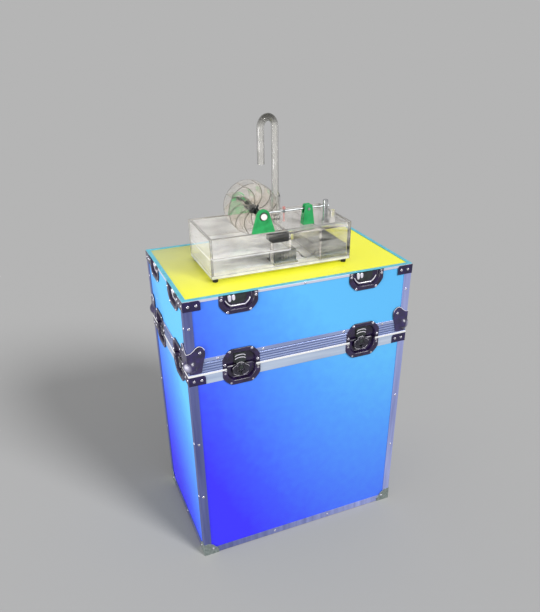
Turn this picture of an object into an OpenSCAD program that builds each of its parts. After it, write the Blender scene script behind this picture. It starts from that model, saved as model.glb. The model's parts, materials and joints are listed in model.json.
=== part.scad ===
// Water basin unit on a flight case: a clear basin with a pumped gooseneck spout, a water wheel
// and a trip hammer, standing on the lift-off upper section of an aluminium-edged case.
// Millimetres, +Z up, front towards -Y, origin on the floor under the middle of the case.

/* [Case] */
// Width of the case over its edge profiles
case_w = 700; // [580:1:860]
// Depth of the case over its edge profiles
case_d = 430; // [350:1:540]
// Height of the case from the floor to the top of its trim
case_h = 920; // [760:1:1110]
// Height of the lift-off upper section
lid_h = 224; // [185:1:280]
// Thickness of the laminated side and top panels
panel_t = 7; // [5:0.1:9]
// Thickness of the floor panel
floor_t = 9; // [7:0.1:12]
// Leg width of the aluminium edge angles
edge_leg = 24; // [18:0.5:30]
// Thickness of the aluminium edge angles and strips
edge_t = 2; // [1.5:0.1:2.6]

/* [Seam and top edge] */
// Height of the plain strip below the seam
strip_h = 36; // [30:1:44]
// Height of the bead along the seam
bead_h = 6; // [4:0.5:8]
// How far the bead stands out
bead_out = 1.5; // [1:0.1:2.5]
// Height of the tongue that locates the upper section
tongue_h = 8; // [5:0.5:12]
// Height of the ribbed valance above the seam
valance_h = 45; // [38:1:54]
// Number of ribs on the valance
rib_count = 4; // [2:1:5]
// Width of the trim around the top panel
trim_w = 12; // [11.5:0.5:18]
// Thickness of the top trim
trim_t = 1.5; // [1:0.1:2.5]
// Height of the bright strip below the top trim
top_strip_h = 8; // [6:0.5:12]

/* [Latches] */
// Half width of a latch dish
dish_half_w = 56; // [52:0.5:68]
// Height of each half of a latch dish
dish_half_h = 57; // [54:0.5:68]
// Width of the dish flange around its recess
flange_w = 13; // [11:0.5:16]
// Depth from the flange face to the recess floor
dish_depth = 14.4; // [13:0.1:18]
// Gap between a corner bracket and the latch dish on the wide faces
latch_gap_wide = 50; // [20:1:75]
// Gap between a corner bracket and the latch dish on the narrow faces
latch_gap_narrow = 1; // [0.5:0.5:6]
// How far the latch boss sits below the seam
boss_drop = 8; // [6:0.5:12]
// Radius of the latch pivot pin
latch_pin_r = 4; // [3:0.1:5]

/* [Corners and rivets] */
// Reach of the brackets and ball corners along each face
corner_reach = 48; // [40:1:58]
// Height of the flat corner brackets
bracket_h = 28; // [22:1:28]
// Radius of the bulge on a ball corner
ball_r = 21; // [17:0.5:25]
// How far the ball stands out from the faces
ball_out = 11; // [8:0.5:12]
// Height of the ball corner above the seam
ball_corner_h = 90; // [84:1:96]
// Plate thickness of the corner fittings
fitting_t = 1.5; // [1:0.1:2.2]
// Radius of a rivet head
rivet_r = 3.6; // [2.8:0.1:4.4]
// Height of a rivet head
rivet_h = 1.4; // [1:0.1:2]

/* [Basin unit] */
// Width of the clear tank
tank_w = 426; // [355:1:512]
// Depth of the clear tank
tank_d = 206; // [180:1:248]
// Height of the clear tank without its feet
tank_h = 112; // [94:1:135]
// Thickness of the clear sheet
sheet_t = 8; // [6:0.1:10]
// Thickness of the inner shelves and partitions
shelf_t = 6; // [4:0.1:7.5]
// Height of the basin floor above the tank bottom
basin_z = 50; // [48:0.5:60]
// How far the splash deck lies below the rim
deck_drop = 9; // [6:0.5:12]
// Width of the open basin from the left outer face to the partition
basin_w = 232; // [228:1:260]
// Width of the dry bay at the right end
dry_w = 92; // [80:1:110]
// Height of the rubber feet
foot_h = 12; // [9:0.5:15]
// Radius of the rubber feet
foot_r = 8.5; // [7:0.1:10]
// How far left of the case middle the tank stands
unit_shift_x = 29; // [0:1:60]
// How far in front of the case middle the tank stands
unit_shift_y = 27; // [0:1:60]

/* [Water wheel] */
// Radius of the wheel
wheel_r = 71; // [59:0.5:74]
// Width of the wheel over its discs
wheel_w = 50; // [40:1:60]
// Thickness of the wheel discs
disc_t = 3; // [2:0.1:4]
// Number of curved vanes
vane_count = 10; // [6:1:12]
// Thickness of a vane
vane_t = 2.4; // [1.6:0.1:3.2]
// Radius of the wheel hub
hub_r = 14; // [12:0.5:17]
// Radius of the wheel shaft
shaft_r = 5; // [4:0.1:6]
// Height of the shaft above the tank rim
shaft_rise = 46; // [38:1:56]
// Distance from the left end of the tank to the shaft
shaft_inset = 155; // [140:1:156]
// Thickness of the green plate brackets
bracket_t = 8; // [6:0.1:9.6]

/* [Trip hammer] */
// Distance from the shaft to the lever pivot
lever_reach = 159; // [150:1:170]
// Distance from the lever pivot to the hammer
hammer_reach = 57; // [47:1:60]
// Radius of the lever rod
lever_r = 2.5; // [2:0.1:3]
// Radius of the hammer
hammer_r = 8; // [6.5:0.1:9.6]
// Height of the hammer
hammer_h = 57; // [50:1:68]
// Greatest lift angle of the lever
lift_angle = 12; // [8:0.5:13]
// Distance from the tank front to the lever
lever_inset = 60; // [52:1:62]

/* [Spout] */
// Outer radius of the gooseneck tube
spout_r = 10; // [8:0.1:11]
// Wall thickness of the gooseneck tube
spout_wall = 3; // [2.4:0.1:3.4]
// Distance between the riser and the outlet leg
spout_reach = 53; // [44:1:64]
// Height of the top of the arch above the tank bottom
spout_top = 400; // [340:1:480]
// Length of the straight outlet leg
outlet_leg = 95; // [79:1:114]
// Direction of the outlet, turned from +X
spout_turn = 200; // [190:1:215]
// Height of the swivel socket above the deck
socket_h = 67; // [56:1:80]

/* [Hidden] */
$fn = 48;
run_gap = 0.05;       // radial clearance of a turning fit
side_gap = 0.3;       // clearance between pieces that move past each other
lid_gap = 0.4;        // clearance of the tongue inside the upper section
seam_z = case_h - lid_h;
top_z = case_h - trim_t;
panel_top = top_z - panel_t;
base_low = fitting_t + edge_t;
strip_low = seam_z - strip_h;
flange_out = 1.6;     // how far the dish flange stands out of the nominal face
pan_in = dish_depth - flange_out;
pan_wall = 1.2;
pan_half_w = dish_half_w - flange_w;
pan_half_h = dish_half_h - flange_w;
pan_slope = 18;       // corner cut of the recess
flange_cut = [24, 27];  // corner cut of the flange, across and up
top_pan_in = trim_w - 2.2;
cut_out = 10;         // how far the clearance cuts reach in front of a face
latch_wide = case_w / 2 - corner_reach - latch_gap_wide - dish_half_w;
latch_narrow = case_d / 2 - corner_reach - latch_gap_narrow - dish_half_w;
LATCHES = [[0, -1], [0, 1], [1, -1], [1, 1], [2, -1], [2, 1], [3, -1], [3, 1]];
latch_plate_t = 2;
hook_t = 1.5;
hook_half_w = 13;
hook_rise = 24;
keeper_t = 1.6;
hook_out = pan_in - latch_plate_t - hook_t;
handle_in = hook_out - side_gap;
handle_t = 4.6;
wing_t = 3;
head_t = 1.2;
boss_r = 12;
rib_h = 4;
rib_out = 1;
foot_cap = 48;

unit_z = top_z;
tank_low = foot_h;
wall_low = tank_low + sheet_t;
rim_z = tank_low + tank_h;
deck_top = rim_z - deck_drop;
deck_low = deck_top - shelf_t;
basin_low = tank_low + basin_z;
basin_top = basin_low + shelf_t;
in_x = tank_w / 2 - sheet_t;
in_y = tank_d / 2 - sheet_t;
part_x = -tank_w / 2 + basin_w;
bulk_x = tank_w / 2 - dry_w;
shaft_x = -tank_w / 2 + shaft_inset;
shaft_z = rim_z + shaft_rise;
bush_r = 9;
bush_flange_r = 11.5;
bush_flange_t = 1.5;
cap_r = 8.5;
cap_t = 4;
lever_y = -tank_d / 2 + lever_inset;
lever_x = shaft_x + lever_reach;
lever_z = shaft_z - 10;
cam_r = 9;
peg_reach = 17.5;
cam_w = 10;
peg_count = 3;
tail_gap = 1;
tail_x = shaft_x + sqrt(pow(peg_reach + tail_gap, 2) - pow(shaft_z - lever_z - lever_r, 2));
hammer_x = lever_x + hammer_reach;
anvil_h = 6;
hammer_low = deck_top + anvil_h + lid_gap;
fork_w = 36;
fork_top_w = 22;
fork_d = 20;
fork_slot = 8;
fork_rise = 12;
pin_r = 2.5;
lever_hub_r = 6;
screw_x = part_x + 8;
screw_r = 2;
screw_low = deck_top + (lever_x - screw_x) * sin(lift_angle) + 1.5;
vent_x = hammer_x + 9;
vent_y = lever_y - 30;
vent_r = 8;
vent_h = 40;
socket_r = 14;
shank_r = 10;
socket_x = part_x + socket_r + 1;
socket_y = 36;
socket_top = deck_top + socket_h;
cone_h = 18;
arch_r = spout_reach / 2;
arch_z = tank_low + spout_top - spout_r - arch_r;
pump_size = [66, 46, 34];
pump_foot = [74, 54, 5];
pump_y = -60;
hose_r = 5;
hose_bore = 3.5;
hose_bend = 15;
hose_z = deck_low - hose_bend - 4;
overflow_w = 60;
overflow_d = 20;
overflow_h = 22;
overflow_z = rim_z - 34;
pipe_r = 5;
power_h = 36;
lead_r = 2;
lead_y = -70;
// Route of the pump lead across and up, from the pump to the dry bay
LEAD = [[0, 28], [4, 28], [11, 25], [17, 17], [23, 9], [32, 4.5], [44, 4], [51, 7], [57, 13], [62, 17], [68, 17]];
LEAD_END = LEAD[len(LEAD) - 1];

// ---- placing ----

// Local +X runs along the face, -Y points out of it
module at_face(side, along, z) {
    reach = side % 2 == 0 ? case_d / 2 : case_w / 2;
    rotate([0, 0, 90 * side]) translate([along, -reach, z]) children();
}

// Local +X and +Y run from the vertical edge along its two faces
module at_corner(k) {
    half_x = (k % 2 == 0 ? case_w : case_d) / 2;
    half_y = (k % 2 == 0 ? case_d : case_w) / 2;
    rotate([0, 0, 90 * k]) translate([-half_x, -half_y, 0]) children();
}

module both_faces() {
    children();
    mirror([1, -1, 0]) children();
}

function latch_along(l) = l[1] * (l[0] % 2 == 0 ? latch_wide : latch_narrow);

module at_latches(z) {
    for (l = LATCHES) at_face(l[0], latch_along(l), z) children();
}

// An outline drawn across and up, made solid from one depth behind the face to another
module face_prism(outer, inner) {
    translate([0, inner, 0]) rotate([90, 0, 0]) linear_extrude(inner - outer) children();
}

module unit() {
    translate([-unit_shift_x, -unit_shift_y, unit_z]) children();
}

module box(low, high) {
    translate(low) cube(high - low);
}

module ring(inset_out, inset_in, z_low, z_high) {
    difference() {
        box([-case_w / 2 + inset_out, -case_d / 2 + inset_out, z_low],
            [case_w / 2 - inset_out, case_d / 2 - inset_out, z_high]);
        box([-case_w / 2 + inset_in, -case_d / 2 + inset_in, z_low - 1],
            [case_w / 2 - inset_in, case_d / 2 - inset_in, z_high + 1]);
    }
}

module tube(r_out, r_in, h) {
    difference() {
        cylinder(r = r_out, h = h);
        translate([0, 0, -1]) cylinder(r = r_in, h = h + 2);
    }
}

// ---- latch outlines ----

// Lower half of an octagon hanging from the line y = 0
module half_octagon(half_w, h, cut) {
    polygon([[-half_w, 0], [-half_w, cut[1] - h], [cut[0] - half_w, -h],
        [half_w - cut[0], -h], [half_w, cut[1] - h], [half_w, 0]]);
}

module flange_outline() {
    half_octagon(dish_half_w, dish_half_h, flange_cut);
}

module pan_outline(grow) {
    half_octagon(pan_half_w + grow, pan_half_h + grow, [pan_slope, pan_slope] + [grow, grow] * 0.4);
}

// One half of a latch dish: flange, sloping recess walls and recess floor
module half_dish(floor_in, flange_top) {
    face_prism(-flange_out, edge_t) difference() {
        intersection() {
            flange_outline();
            translate([-dish_half_w, flange_top - dish_half_h]) square([2 * dish_half_w, dish_half_h]);
        }
        pan_outline(0);
    }
    face_prism(edge_t, floor_in + pan_wall) difference() {
        pan_outline(pan_wall);
        pan_outline(0);
    }
    face_prism(floor_in, floor_in + pan_wall) pan_outline(0);
}

// Clearance through the walls for a recess, open past the line y = 0
module pan_cut(floor_in) {
    grow = pan_wall + side_gap;
    face_prism(-cut_out, floor_in + grow) {
        pan_outline(grow);
        translate([-pan_half_w - grow, -1]) square([2 * (pan_half_w + grow), tongue_h + 4]);
    }
}

// Clearance through the edge strips for a flange
module flange_cut_out() {
    face_prism(-cut_out, edge_t) {
        flange_outline();
        translate([-dish_half_w, -1]) square([2 * dish_half_w, 2]);
    }
}

module rivet(x, out, z) {
    translate([x, -out, z]) rotate([90, 0, 0]) cylinder(h = rivet_h, r1 = rivet_r, r2 = rivet_r * 0.6);
}

// ---- lower section ----

module side_walls(z_low, z_high) {
    x = case_w / 2 - edge_t;
    y = case_d / 2 - edge_t;
    for (s = [-1, 1]) {
        translate([0, s * (y - panel_t / 2), (z_low + z_high) / 2]) cube([2 * x, panel_t, z_high - z_low], center = true);
        translate([s * (x - panel_t / 2), 0, (z_low + z_high) / 2])
            cube([panel_t, 2 * (y - panel_t), z_high - z_low], center = true);
    }
}

module base_side_panels() {
    color("#3f6bff") difference() {
        side_walls(base_low, seam_z - edge_t);
        at_latches(seam_z) pan_cut(pan_in);
    }
}

module base_floor_panel() {
    inset = edge_t + panel_t;
    color("#8a7a5c") box([-case_w / 2 + inset, -case_d / 2 + inset, base_low],
        [case_w / 2 - inset, case_d / 2 - inset, base_low + floor_t]);
}

module corner_angle(z_low, z_high) {
    difference() {
        box([0, 0, z_low], [edge_leg, edge_leg, z_high]);
        box([edge_t, edge_t, z_low - 1], [edge_leg + 1, edge_leg + 1, z_high + 1]);
    }
}

// Bottom angle along a face of the given length, its flat leg shortened at both ends by the cut
module bottom_angle(length, cut, leg_cut) {
    box([-length / 2 + cut, 0, fitting_t], [length / 2 - cut, edge_t, fitting_t + edge_leg]);
    box([-length / 2 + leg_cut, edge_t, fitting_t], [length / 2 - leg_cut, edge_leg, fitting_t + edge_t]);
}

module base_edge_profiles() {
    color("#c9ccd4") {
        for (k = [0:3]) at_corner(k) corner_angle(fitting_t + edge_leg, strip_low);
        for (side = [0, 2]) at_face(side, 0, 0) bottom_angle(case_w, 0, edge_t);
        for (side = [1, 3]) at_face(side, 0, 0) bottom_angle(case_d, edge_t, edge_leg);
    }
}

module seam_profile() {
    inset = edge_t + panel_t;
    color("#d6d9e2") difference() {
        union() {
            ring(0, edge_t, strip_low, seam_z - edge_t);
            ring(0, inset + lid_gap + 3, seam_z - edge_t, seam_z);
            ring(-bead_out, edge_t, seam_z - bead_h, seam_z);
            ring(inset + lid_gap, inset + lid_gap + 3, seam_z - edge_t, seam_z + tongue_h);
        }
        at_latches(seam_z) pan_cut(pan_in);
        at_latches(seam_z) face_prism(-cut_out, edge_t) intersection() {
            flange_outline();
            translate([-dish_half_w, -dish_half_h]) square([2 * dish_half_w, dish_half_h - bead_h]);
        }
    }
}

module foot_corner_caps() {
    outline = [[-fitting_t, 0], [foot_cap, 0], [foot_cap, 15], [30, 40], [15, foot_cap], [-fitting_t, foot_cap]];
    color("#9aa39c") for (k = [0:3]) at_corner(k) difference() {
        union() {
            both_faces() face_prism(-fitting_t, 0) polygon(outline);
            linear_extrude(fitting_t)
                polygon([[-fitting_t, -fitting_t], [foot_cap, -fitting_t], [foot_cap, 15], [15, foot_cap], [-fitting_t, foot_cap]]);
        }
        translate([0, 0, fitting_t]) cube([foot_cap + 1, foot_cap + 1, foot_cap]);
    }
}

module l_bracket(z_low) {
    both_faces() face_prism(-fitting_t, 0)
        polygon([[-fitting_t, z_low], [corner_reach, z_low], [corner_reach, z_low + bracket_h - 5],
            [corner_reach - 5, z_low + bracket_h], [-fitting_t, z_low + bracket_h]]);
}

module seam_brackets() {
    color("#1b1430") for (k = [0:3]) at_corner(k) l_bracket(seam_z - bead_h - bracket_h - 1);
}

module lower_latch_dishes() {
    color("#15111f") at_latches(seam_z) half_dish(pan_in, -bead_h - side_gap);
}

module latch_plates() {
    plate_out = pan_in - latch_plate_t;
    head_out = handle_in - handle_t - side_gap;
    color("#3b3a40") at_latches(seam_z) {
        face_prism(plate_out, pan_in)
            polygon([[-22, -2], [-22, -24], [-14, -36], [14, -36], [22, -24], [22, -2]]);
        translate([0, plate_out, -boss_drop]) rotate([90, 0, 0]) {
            cylinder(r = latch_pin_r, h = plate_out - head_out + 0.01);
            translate([0, 0, plate_out - head_out]) cylinder(r = latch_pin_r + 2.5, h = head_t);
        }
    }
}

module latch_hooks() {
    color("#d5d7dc") at_latches(seam_z) face_prism(hook_out, hook_out + hook_t) difference() {
        polygon([[-9, -boss_drop - 10], [9, -boss_drop - 10], [hook_half_w, -boss_drop], [hook_half_w, hook_rise - 5],
            [8, hook_rise], [-8, hook_rise], [-hook_half_w, hook_rise - 5], [-hook_half_w, -boss_drop]]);
        translate([0, -boss_drop]) circle(r = latch_pin_r + lid_gap);
    }
}

// Butterfly handle: a boss on the pivot pin with two drooping wings
module butterfly(l) {
    wing_out = handle_in - handle_t;
    color("#1d1a26") at_face(l[0], latch_along(l), seam_z - boss_drop) difference() {
        union() {
            face_prism(wing_out, handle_in) circle(r = boss_r);
            face_prism(wing_out, wing_out + wing_t)
                polygon([[-25, 2], [-25, -17], [-14, -25], [-2, -25], [-2, -18], [2, -18], [2, -25], [14, -25],
                    [25, -17], [25, 2], [10, 9], [-10, 9]]);
        }
        face_prism(wing_out - 1, handle_in + 1) circle(r = latch_pin_r + run_gap);
    }
}

module latch_front_left() { butterfly(LATCHES[0]); }
module latch_front_right() { butterfly(LATCHES[1]); }
module latch_right_front() { butterfly(LATCHES[2]); }
module latch_right_back() { butterfly(LATCHES[3]); }
module latch_back_right() { butterfly(LATCHES[4]); }
module latch_back_left() { butterfly(LATCHES[5]); }
module latch_left_back() { butterfly(LATCHES[6]); }
module latch_left_front() { butterfly(LATCHES[7]); }

module dish_rivets(top) {
    for (s = [-1, 1]) {
        rivet(s * (dish_half_w - flange_w / 2), flange_out, top ? -12 : -bead_h - 10);
        rivet(s * (dish_half_w - flange_cut[0] + 1), flange_out, -dish_half_h + flange_w / 2);
    }
}

module base_rivets() {
    edge = edge_leg / 2;
    color("#e6e2ee") {
        for (k = [0:3]) at_corner(k) both_faces() {
            for (i = [1, 2]) rivet(edge, 0, foot_cap + (strip_low - foot_cap) * i / 3);
            for (x = [14, 36]) rivet(x, fitting_t, seam_z - bead_h - 1 - bracket_h / 2);
            rivet(30, fitting_t, 22);
        }
        for (side = [0, 2], i = [-1, 1]) at_face(side, i * (case_w - 2 * foot_cap) / 6, fitting_t + edge) rivet(0, 0, 0);
        for (side = [1, 3]) at_face(side, 0, fitting_t + edge) rivet(0, 0, 0);
        at_latches(seam_z) dish_rivets(false);
    }
}

// ---- upper section ----

module upper_side_panels() {
    color("#5aa8ff") difference() {
        side_walls(seam_z + edge_t, panel_top);
        at_latches(seam_z) mirror([0, 0, 1]) pan_cut(pan_in);
        at_latches(top_z) pan_cut(top_pan_in);
    }
}

module top_panel() {
    color("#f4f23c") difference() {
        box([-case_w / 2 + edge_t, -case_d / 2 + edge_t, panel_top], [case_w / 2 - edge_t, case_d / 2 - edge_t, top_z]);
        at_latches(top_z) pan_cut(top_pan_in);
    }
}

module top_trim() {
    color("#4fc0d8") ring(0, trim_w, top_z, case_h);
}

module upper_edge_profiles() {
    color("#c9ccd4") {
        for (k = [0:3]) at_corner(k) corner_angle(seam_z + valance_h, top_z - top_strip_h);
        difference() {
            ring(0, edge_t, top_z - top_strip_h, top_z);
            at_latches(top_z) flange_cut_out();
        }
    }
}

module valance() {
    pitch = (valance_h - 13) / rib_count;
    color("#b9bcc8") difference() {
        union() {
            ring(0, edge_t, seam_z, seam_z + valance_h);
            ring(0, edge_t + panel_t, seam_z, seam_z + edge_t);
            for (side = [0:3], i = [0:rib_count - 1]) {
                half = (side % 2 == 0 ? case_w : case_d) / 2 - corner_reach - 1;
                at_face(side, 0, seam_z + 4 + i * pitch) box([-half, -rib_out, 0], [half, 0, rib_h]);
            }
        }
        at_latches(seam_z) mirror([0, 0, 1]) pan_cut(pan_in);
        at_latches(seam_z) mirror([0, 0, 1]) flange_cut_out();
    }
}

module ball_corners() {
    t = rib_out + fitting_t;
    h = ball_corner_h;
    outline = [[-t, 3], [corner_reach - 11, 3], [corner_reach - 8, 18], [corner_reach - 2, h - 50],
        [corner_reach + 4, h - 30], [corner_reach - 2, h - 14], [corner_reach - 14, h], [24, h - 10], [10, h - 18],
        [-t, h - 20]];
    color("#15112a") for (k = [0:3]) at_corner(k) translate([0, 0, seam_z]) difference() {
        union() {
            both_faces() face_prism(-t, 0) polygon(outline);
            translate([ball_r - ball_out, ball_r - ball_out, ball_r + 5]) sphere(r = ball_r);
        }
        cube([corner_reach + 20, corner_reach + 20, 100]);
    }
}

module top_corner_brackets() {
    color("#1b1430") for (k = [0:3]) at_corner(k) l_bracket(case_h - bracket_h - 3);
}

module upper_latch_dishes() {
    color("#15111f") at_latches(seam_z) mirror([0, 0, 1]) half_dish(pan_in, -side_gap);
}

module top_edge_dishes() {
    color("#15111f") at_latches(top_z) half_dish(top_pan_in, 0);
}

// Keeper plates: one with a raised lip above each hook, and a flat one in each top-edge dish
module latch_keepers() {
    color("#d9dadf") {
        at_latches(seam_z) {
            face_prism(pan_in - keeper_t, pan_in) translate([-18, 6]) square([36, 30]);
            face_prism(pan_in - keeper_t - 2, pan_in - keeper_t) translate([-14, hook_rise + 2]) square([28, 5]);
        }
        at_latches(top_z) face_prism(top_pan_in - 2, top_pan_in)
            polygon([[-24, -5], [-24, -22], [-16, -32], [16, -32], [24, -22], [24, -5]]);
    }
}

module upper_rivets() {
    edge = edge_leg / 2;
    color("#e6e2ee") {
        for (k = [0:3]) at_corner(k) both_faces() {
            rivet(edge, 0, (seam_z + valance_h + case_h) / 2 + 8);
            for (x = [14, 36]) rivet(x, fitting_t, case_h - 3 - bracket_h / 2);
            rivet(corner_reach - 12, rib_out + fitting_t, seam_z + ball_corner_h - 23);
        }
        for (side = [0, 2]) at_face(side, 0, top_z - top_strip_h / 2) rivet(0, 0, 0);
        for (l = LATCHES) {
            at_face(l[0], latch_along(l) - l[1] * (dish_half_w + 11), seam_z + valance_h - 6) rivet(0, 0, 0);
            if (l[0] % 2 == 0)
                at_face(l[0], latch_along(l) + l[1] * (dish_half_w + 11), seam_z + valance_h - 6) rivet(0, 0, 0);
        }
        at_latches(seam_z) mirror([0, 0, 1]) dish_rivets(true);
        at_latches(top_z) dish_rivets(true);
    }
}

// ---- clear tank ----

module tank_walls() {
    color("#e3e4e6", 0.5) unit() {
        for (s = [-1, 1]) {
            translate([0, s * (tank_d - sheet_t) / 2, (wall_low + rim_z) / 2])
                cube([tank_w, sheet_t, rim_z - wall_low], center = true);
            translate([s * (tank_w - sheet_t) / 2, 0, (wall_low + rim_z) / 2])
                cube([sheet_t, 2 * in_y, rim_z - wall_low], center = true);
        }
    }
}

module tank_bottom() {
    color("#dcdde0", 0.5) unit()
        box([-tank_w / 2, -tank_d / 2, tank_low], [tank_w / 2, tank_d / 2, wall_low]);
}

module basin_floor() {
    color("#dddee0", 0.5) unit() difference() {
        box([-in_x, -in_y, basin_low], [part_x + shelf_t, in_y, basin_top]);
        translate([part_x - overflow_w + 12, -in_y + overflow_d / 2, basin_low - 1])
            cylinder(r = pipe_r + run_gap, h = shelf_t + 2);
    }
}

module basin_partition() {
    color("#dddee0", 0.5) unit() box([part_x, -in_y, basin_top], [part_x + shelf_t, in_y, deck_low]);
}

module splash_deck() {
    color("#dddee0", 0.5) unit() difference() {
        box([part_x, -in_y, deck_low], [in_x, in_y, deck_top]);
        translate([vent_x, vent_y, deck_low - 1]) cylinder(r = vent_r + run_gap, h = shelf_t + 2);
        translate([socket_x, socket_y, deck_low - 1]) cylinder(r = hose_r + run_gap, h = shelf_t + 2);
    }
}

module dry_bulkhead() {
    color("#dddee0", 0.5) unit() difference() {
        box([bulk_x - shelf_t, -in_y, wall_low], [bulk_x, in_y, deck_low]);
        translate([bulk_x - shelf_t - 1, lead_y, wall_low + LEAD_END[1]]) rotate([0, 90, 0])
            cylinder(r = lead_r + 0.3, h = shelf_t + 2);
    }
}

module rubber_feet() {
    color("#141414") unit() for (x = [-1, 1], y = [-1, 1])
        translate([x * (tank_w / 2 - foot_r - 5), y * (tank_d / 2 - foot_r - 5), 0])
            cylinder(r1 = foot_r - 1, r2 = foot_r, h = foot_h);
}

// ---- fixed fittings on the tank ----

module wheel_brackets() {
    arc_r = 19;
    base_w = 66;
    color("#2fa35f") unit() for (s = [-1, 1]) translate([shaft_x, s * (tank_d - sheet_t) / 2, shaft_z]) difference() {
        rotate([90, 0, 0]) linear_extrude(bracket_t, center = true) hull() {
            circle(r = arc_r, $fn = 64);
            translate([-base_w / 2, -shaft_rise]) square([base_w, 3]);
        }
        rotate([90, 0, 0]) cylinder(r = bush_r, h = bracket_t + 2, center = true);
    }
}

module shaft_bushes() {
    color("#26292b") unit() for (s = [-1, 1]) translate([shaft_x, s * (tank_d - sheet_t) / 2, shaft_z])
        rotate([s * -90, 0, 0]) difference() {
            union() {
                cylinder(r = bush_r, h = bracket_t, center = true);
                translate([0, 0, bracket_t / 2]) cylinder(r = bush_flange_r, h = bush_flange_t);
            }
            cylinder(r = shaft_r + run_gap, h = bracket_t * 3, center = true);
        }
}

module lever_bracket() {
    color("#2fa35f") unit() translate([lever_x, lever_y, 0]) difference() {
        translate([0, fork_d / 2, 0]) rotate([90, 0, 0]) linear_extrude(fork_d)
            polygon([[-fork_w / 2, deck_top], [fork_w / 2, deck_top], [fork_top_w / 2, lever_z + fork_rise - 3],
                [fork_top_w / 2 - 3, lever_z + fork_rise], [3 - fork_top_w / 2, lever_z + fork_rise],
                [-fork_top_w / 2, lever_z + fork_rise - 3]]);
        box([-fork_w, -fork_slot / 2, lever_z - 12], [fork_w, fork_slot / 2, lever_z + fork_rise + 1]);
        translate([0, 0, lever_z]) rotate([90, 0, 0]) cylinder(r = pin_r, h = fork_d + 2, center = true);
    }
}

module lever_pin() {
    color("#cfd2d6") unit() translate([lever_x, lever_y, lever_z]) rotate([90, 0, 0]) {
        cylinder(r = pin_r, h = fork_d, center = true);
        for (s = [-1, 1]) translate([0, 0, s * (fork_d / 2 + 0.9)]) cylinder(r = pin_r + 1.6, h = 1.8, center = true);
    }
}

module anvil() {
    color("#c4c7ca") unit() translate([hammer_x, lever_y, deck_top]) cylinder(r = hammer_r + 4, h = anvil_h);
}

module vent_pipe() {
    color("#e6e7e9", 0.6) unit() translate([vent_x, vent_y, deck_low - 3])
        tube(vent_r, vent_r - 2, vent_h + shelf_t + 3);
}

module spout_socket() {
    color("#e6e7e9", 0.6) unit() translate([socket_x, socket_y, deck_top]) difference() {
        cylinder(r = socket_r, h = socket_h);
        translate([0, 0, 12]) cylinder(r = shank_r + run_gap, h = socket_h);
        translate([0, 0, -1]) cylinder(r = hose_bore, h = socket_h);
    }
}

module overflow_box() {
    x = part_x - overflow_w;
    color("#16181a") unit() difference() {
        translate([0, -in_y + overflow_d, 0]) rotate([90, 0, 0]) linear_extrude(overflow_d)
            polygon([[x, overflow_z + overflow_h], [x, overflow_z + 8], [x + 10, overflow_z],
                [part_x, overflow_z], [part_x, overflow_z + overflow_h]]);
        box([x + 3, -in_y + 3, overflow_z + 10], [part_x - 3, -in_y + overflow_d - 3, overflow_z + overflow_h + 1]);
        translate([x + 12, -in_y + overflow_d / 2, overflow_z - 1]) cylinder(r = pipe_r, h = overflow_h);
    }
}

module overflow_pipe() {
    color("#d9dadc", 0.6) unit() translate([part_x - overflow_w + 12, -in_y + overflow_d / 2, wall_low + 8])
        tube(pipe_r, pipe_r - 1.5, overflow_z + 6 - wall_low - 8);
}

module pump() {
    x = socket_x - 20;
    color("#3c4a46") unit() {
        translate([x - pump_foot[0] / 2, pump_y - pump_foot[1] / 2, wall_low]) cube(pump_foot);
        difference() {
            translate([x - pump_size[0] / 2, pump_y - pump_size[1] / 2, wall_low + pump_foot[2]]) cube(pump_size);
            for (i = [-2:2]) translate([x + i * 8 - 1.5, pump_y - pump_size[1] / 2 - 1, wall_low + 12]) cube([3, 4, 20]);
        }
        translate([socket_x, pump_y, wall_low + pump_foot[2] + pump_size[2]]) cylinder(r = hose_bore, h = 10);
    }
}

module elbow(quarter) {
    rotate([0, 0, quarter]) rotate_extrude(angle = 90) translate([hose_bend, 0]) difference() {
        circle(r = hose_r);
        circle(r = hose_bore);
    }
}

// Clear hose from the pump up and back to the tail of the spout socket, in one upright plane
module riser_hose() {
    low = wall_low + pump_foot[2] + pump_size[2];
    run = socket_y - pump_y - 2 * hose_bend;
    color("#dfe0e2", 0.6) unit() translate([socket_x, 0, 0]) {
        translate([0, pump_y, low]) tube(hose_r, hose_bore, hose_z - hose_bend - low);
        translate([0, pump_y + hose_bend, hose_z - hose_bend]) rotate([90, 0, 90]) elbow(90);
        translate([0, pump_y + hose_bend, hose_z]) rotate([-90, 0, 0]) tube(hose_r, hose_bore, run);
        translate([0, socket_y - hose_bend, hose_z + hose_bend]) rotate([90, 0, 90]) elbow(270);
        translate([0, socket_y, hose_z + hose_bend]) tube(hose_r, hose_bore, deck_top - hose_z - hose_bend);
    }
}

// Unit vector along the lead at point i, from its two neighbours
function lead_dir(i) = let (a = LEAD[max(i - 1, 0)], b = LEAD[min(i + 1, len(LEAD) - 1)]) (b - a) / norm(b - a);

module pump_lead() {
    sides = 8;
    n = len(LEAD);
    points = [for (i = [0:n - 1], j = [0:sides - 1]) let (d = lead_dir(i), a = 360 * j / sides)
        [LEAD[i][0] - d[1] * lead_r * cos(a), lead_r * sin(a), LEAD[i][1] + d[0] * lead_r * cos(a)]];
    faces = concat([[for (j = [0:sides - 1]) j]],
        [for (i = [0:n - 2], j = [0:sides - 1]) let (k = (j + 1) % sides)
            [i * sides + j, (i + 1) * sides + j, (i + 1) * sides + k, i * sides + k]],
        [[for (j = [sides - 1:-1:0]) (n - 1) * sides + j]]);
    start = socket_x - 20 + pump_size[0] / 2;
    color("#23282a") unit() translate([start, lead_y, wall_low]) {
        scale([(bulk_x - start) / LEAD_END[0], 1, 1]) polyhedron(points, faces);
    }
}

module power_box() {
    color("#4b554f") unit() box([bulk_x, -in_y + 2, wall_low], [in_x, in_y - 2, wall_low + power_h]);
}

// ---- water wheel ----

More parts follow.
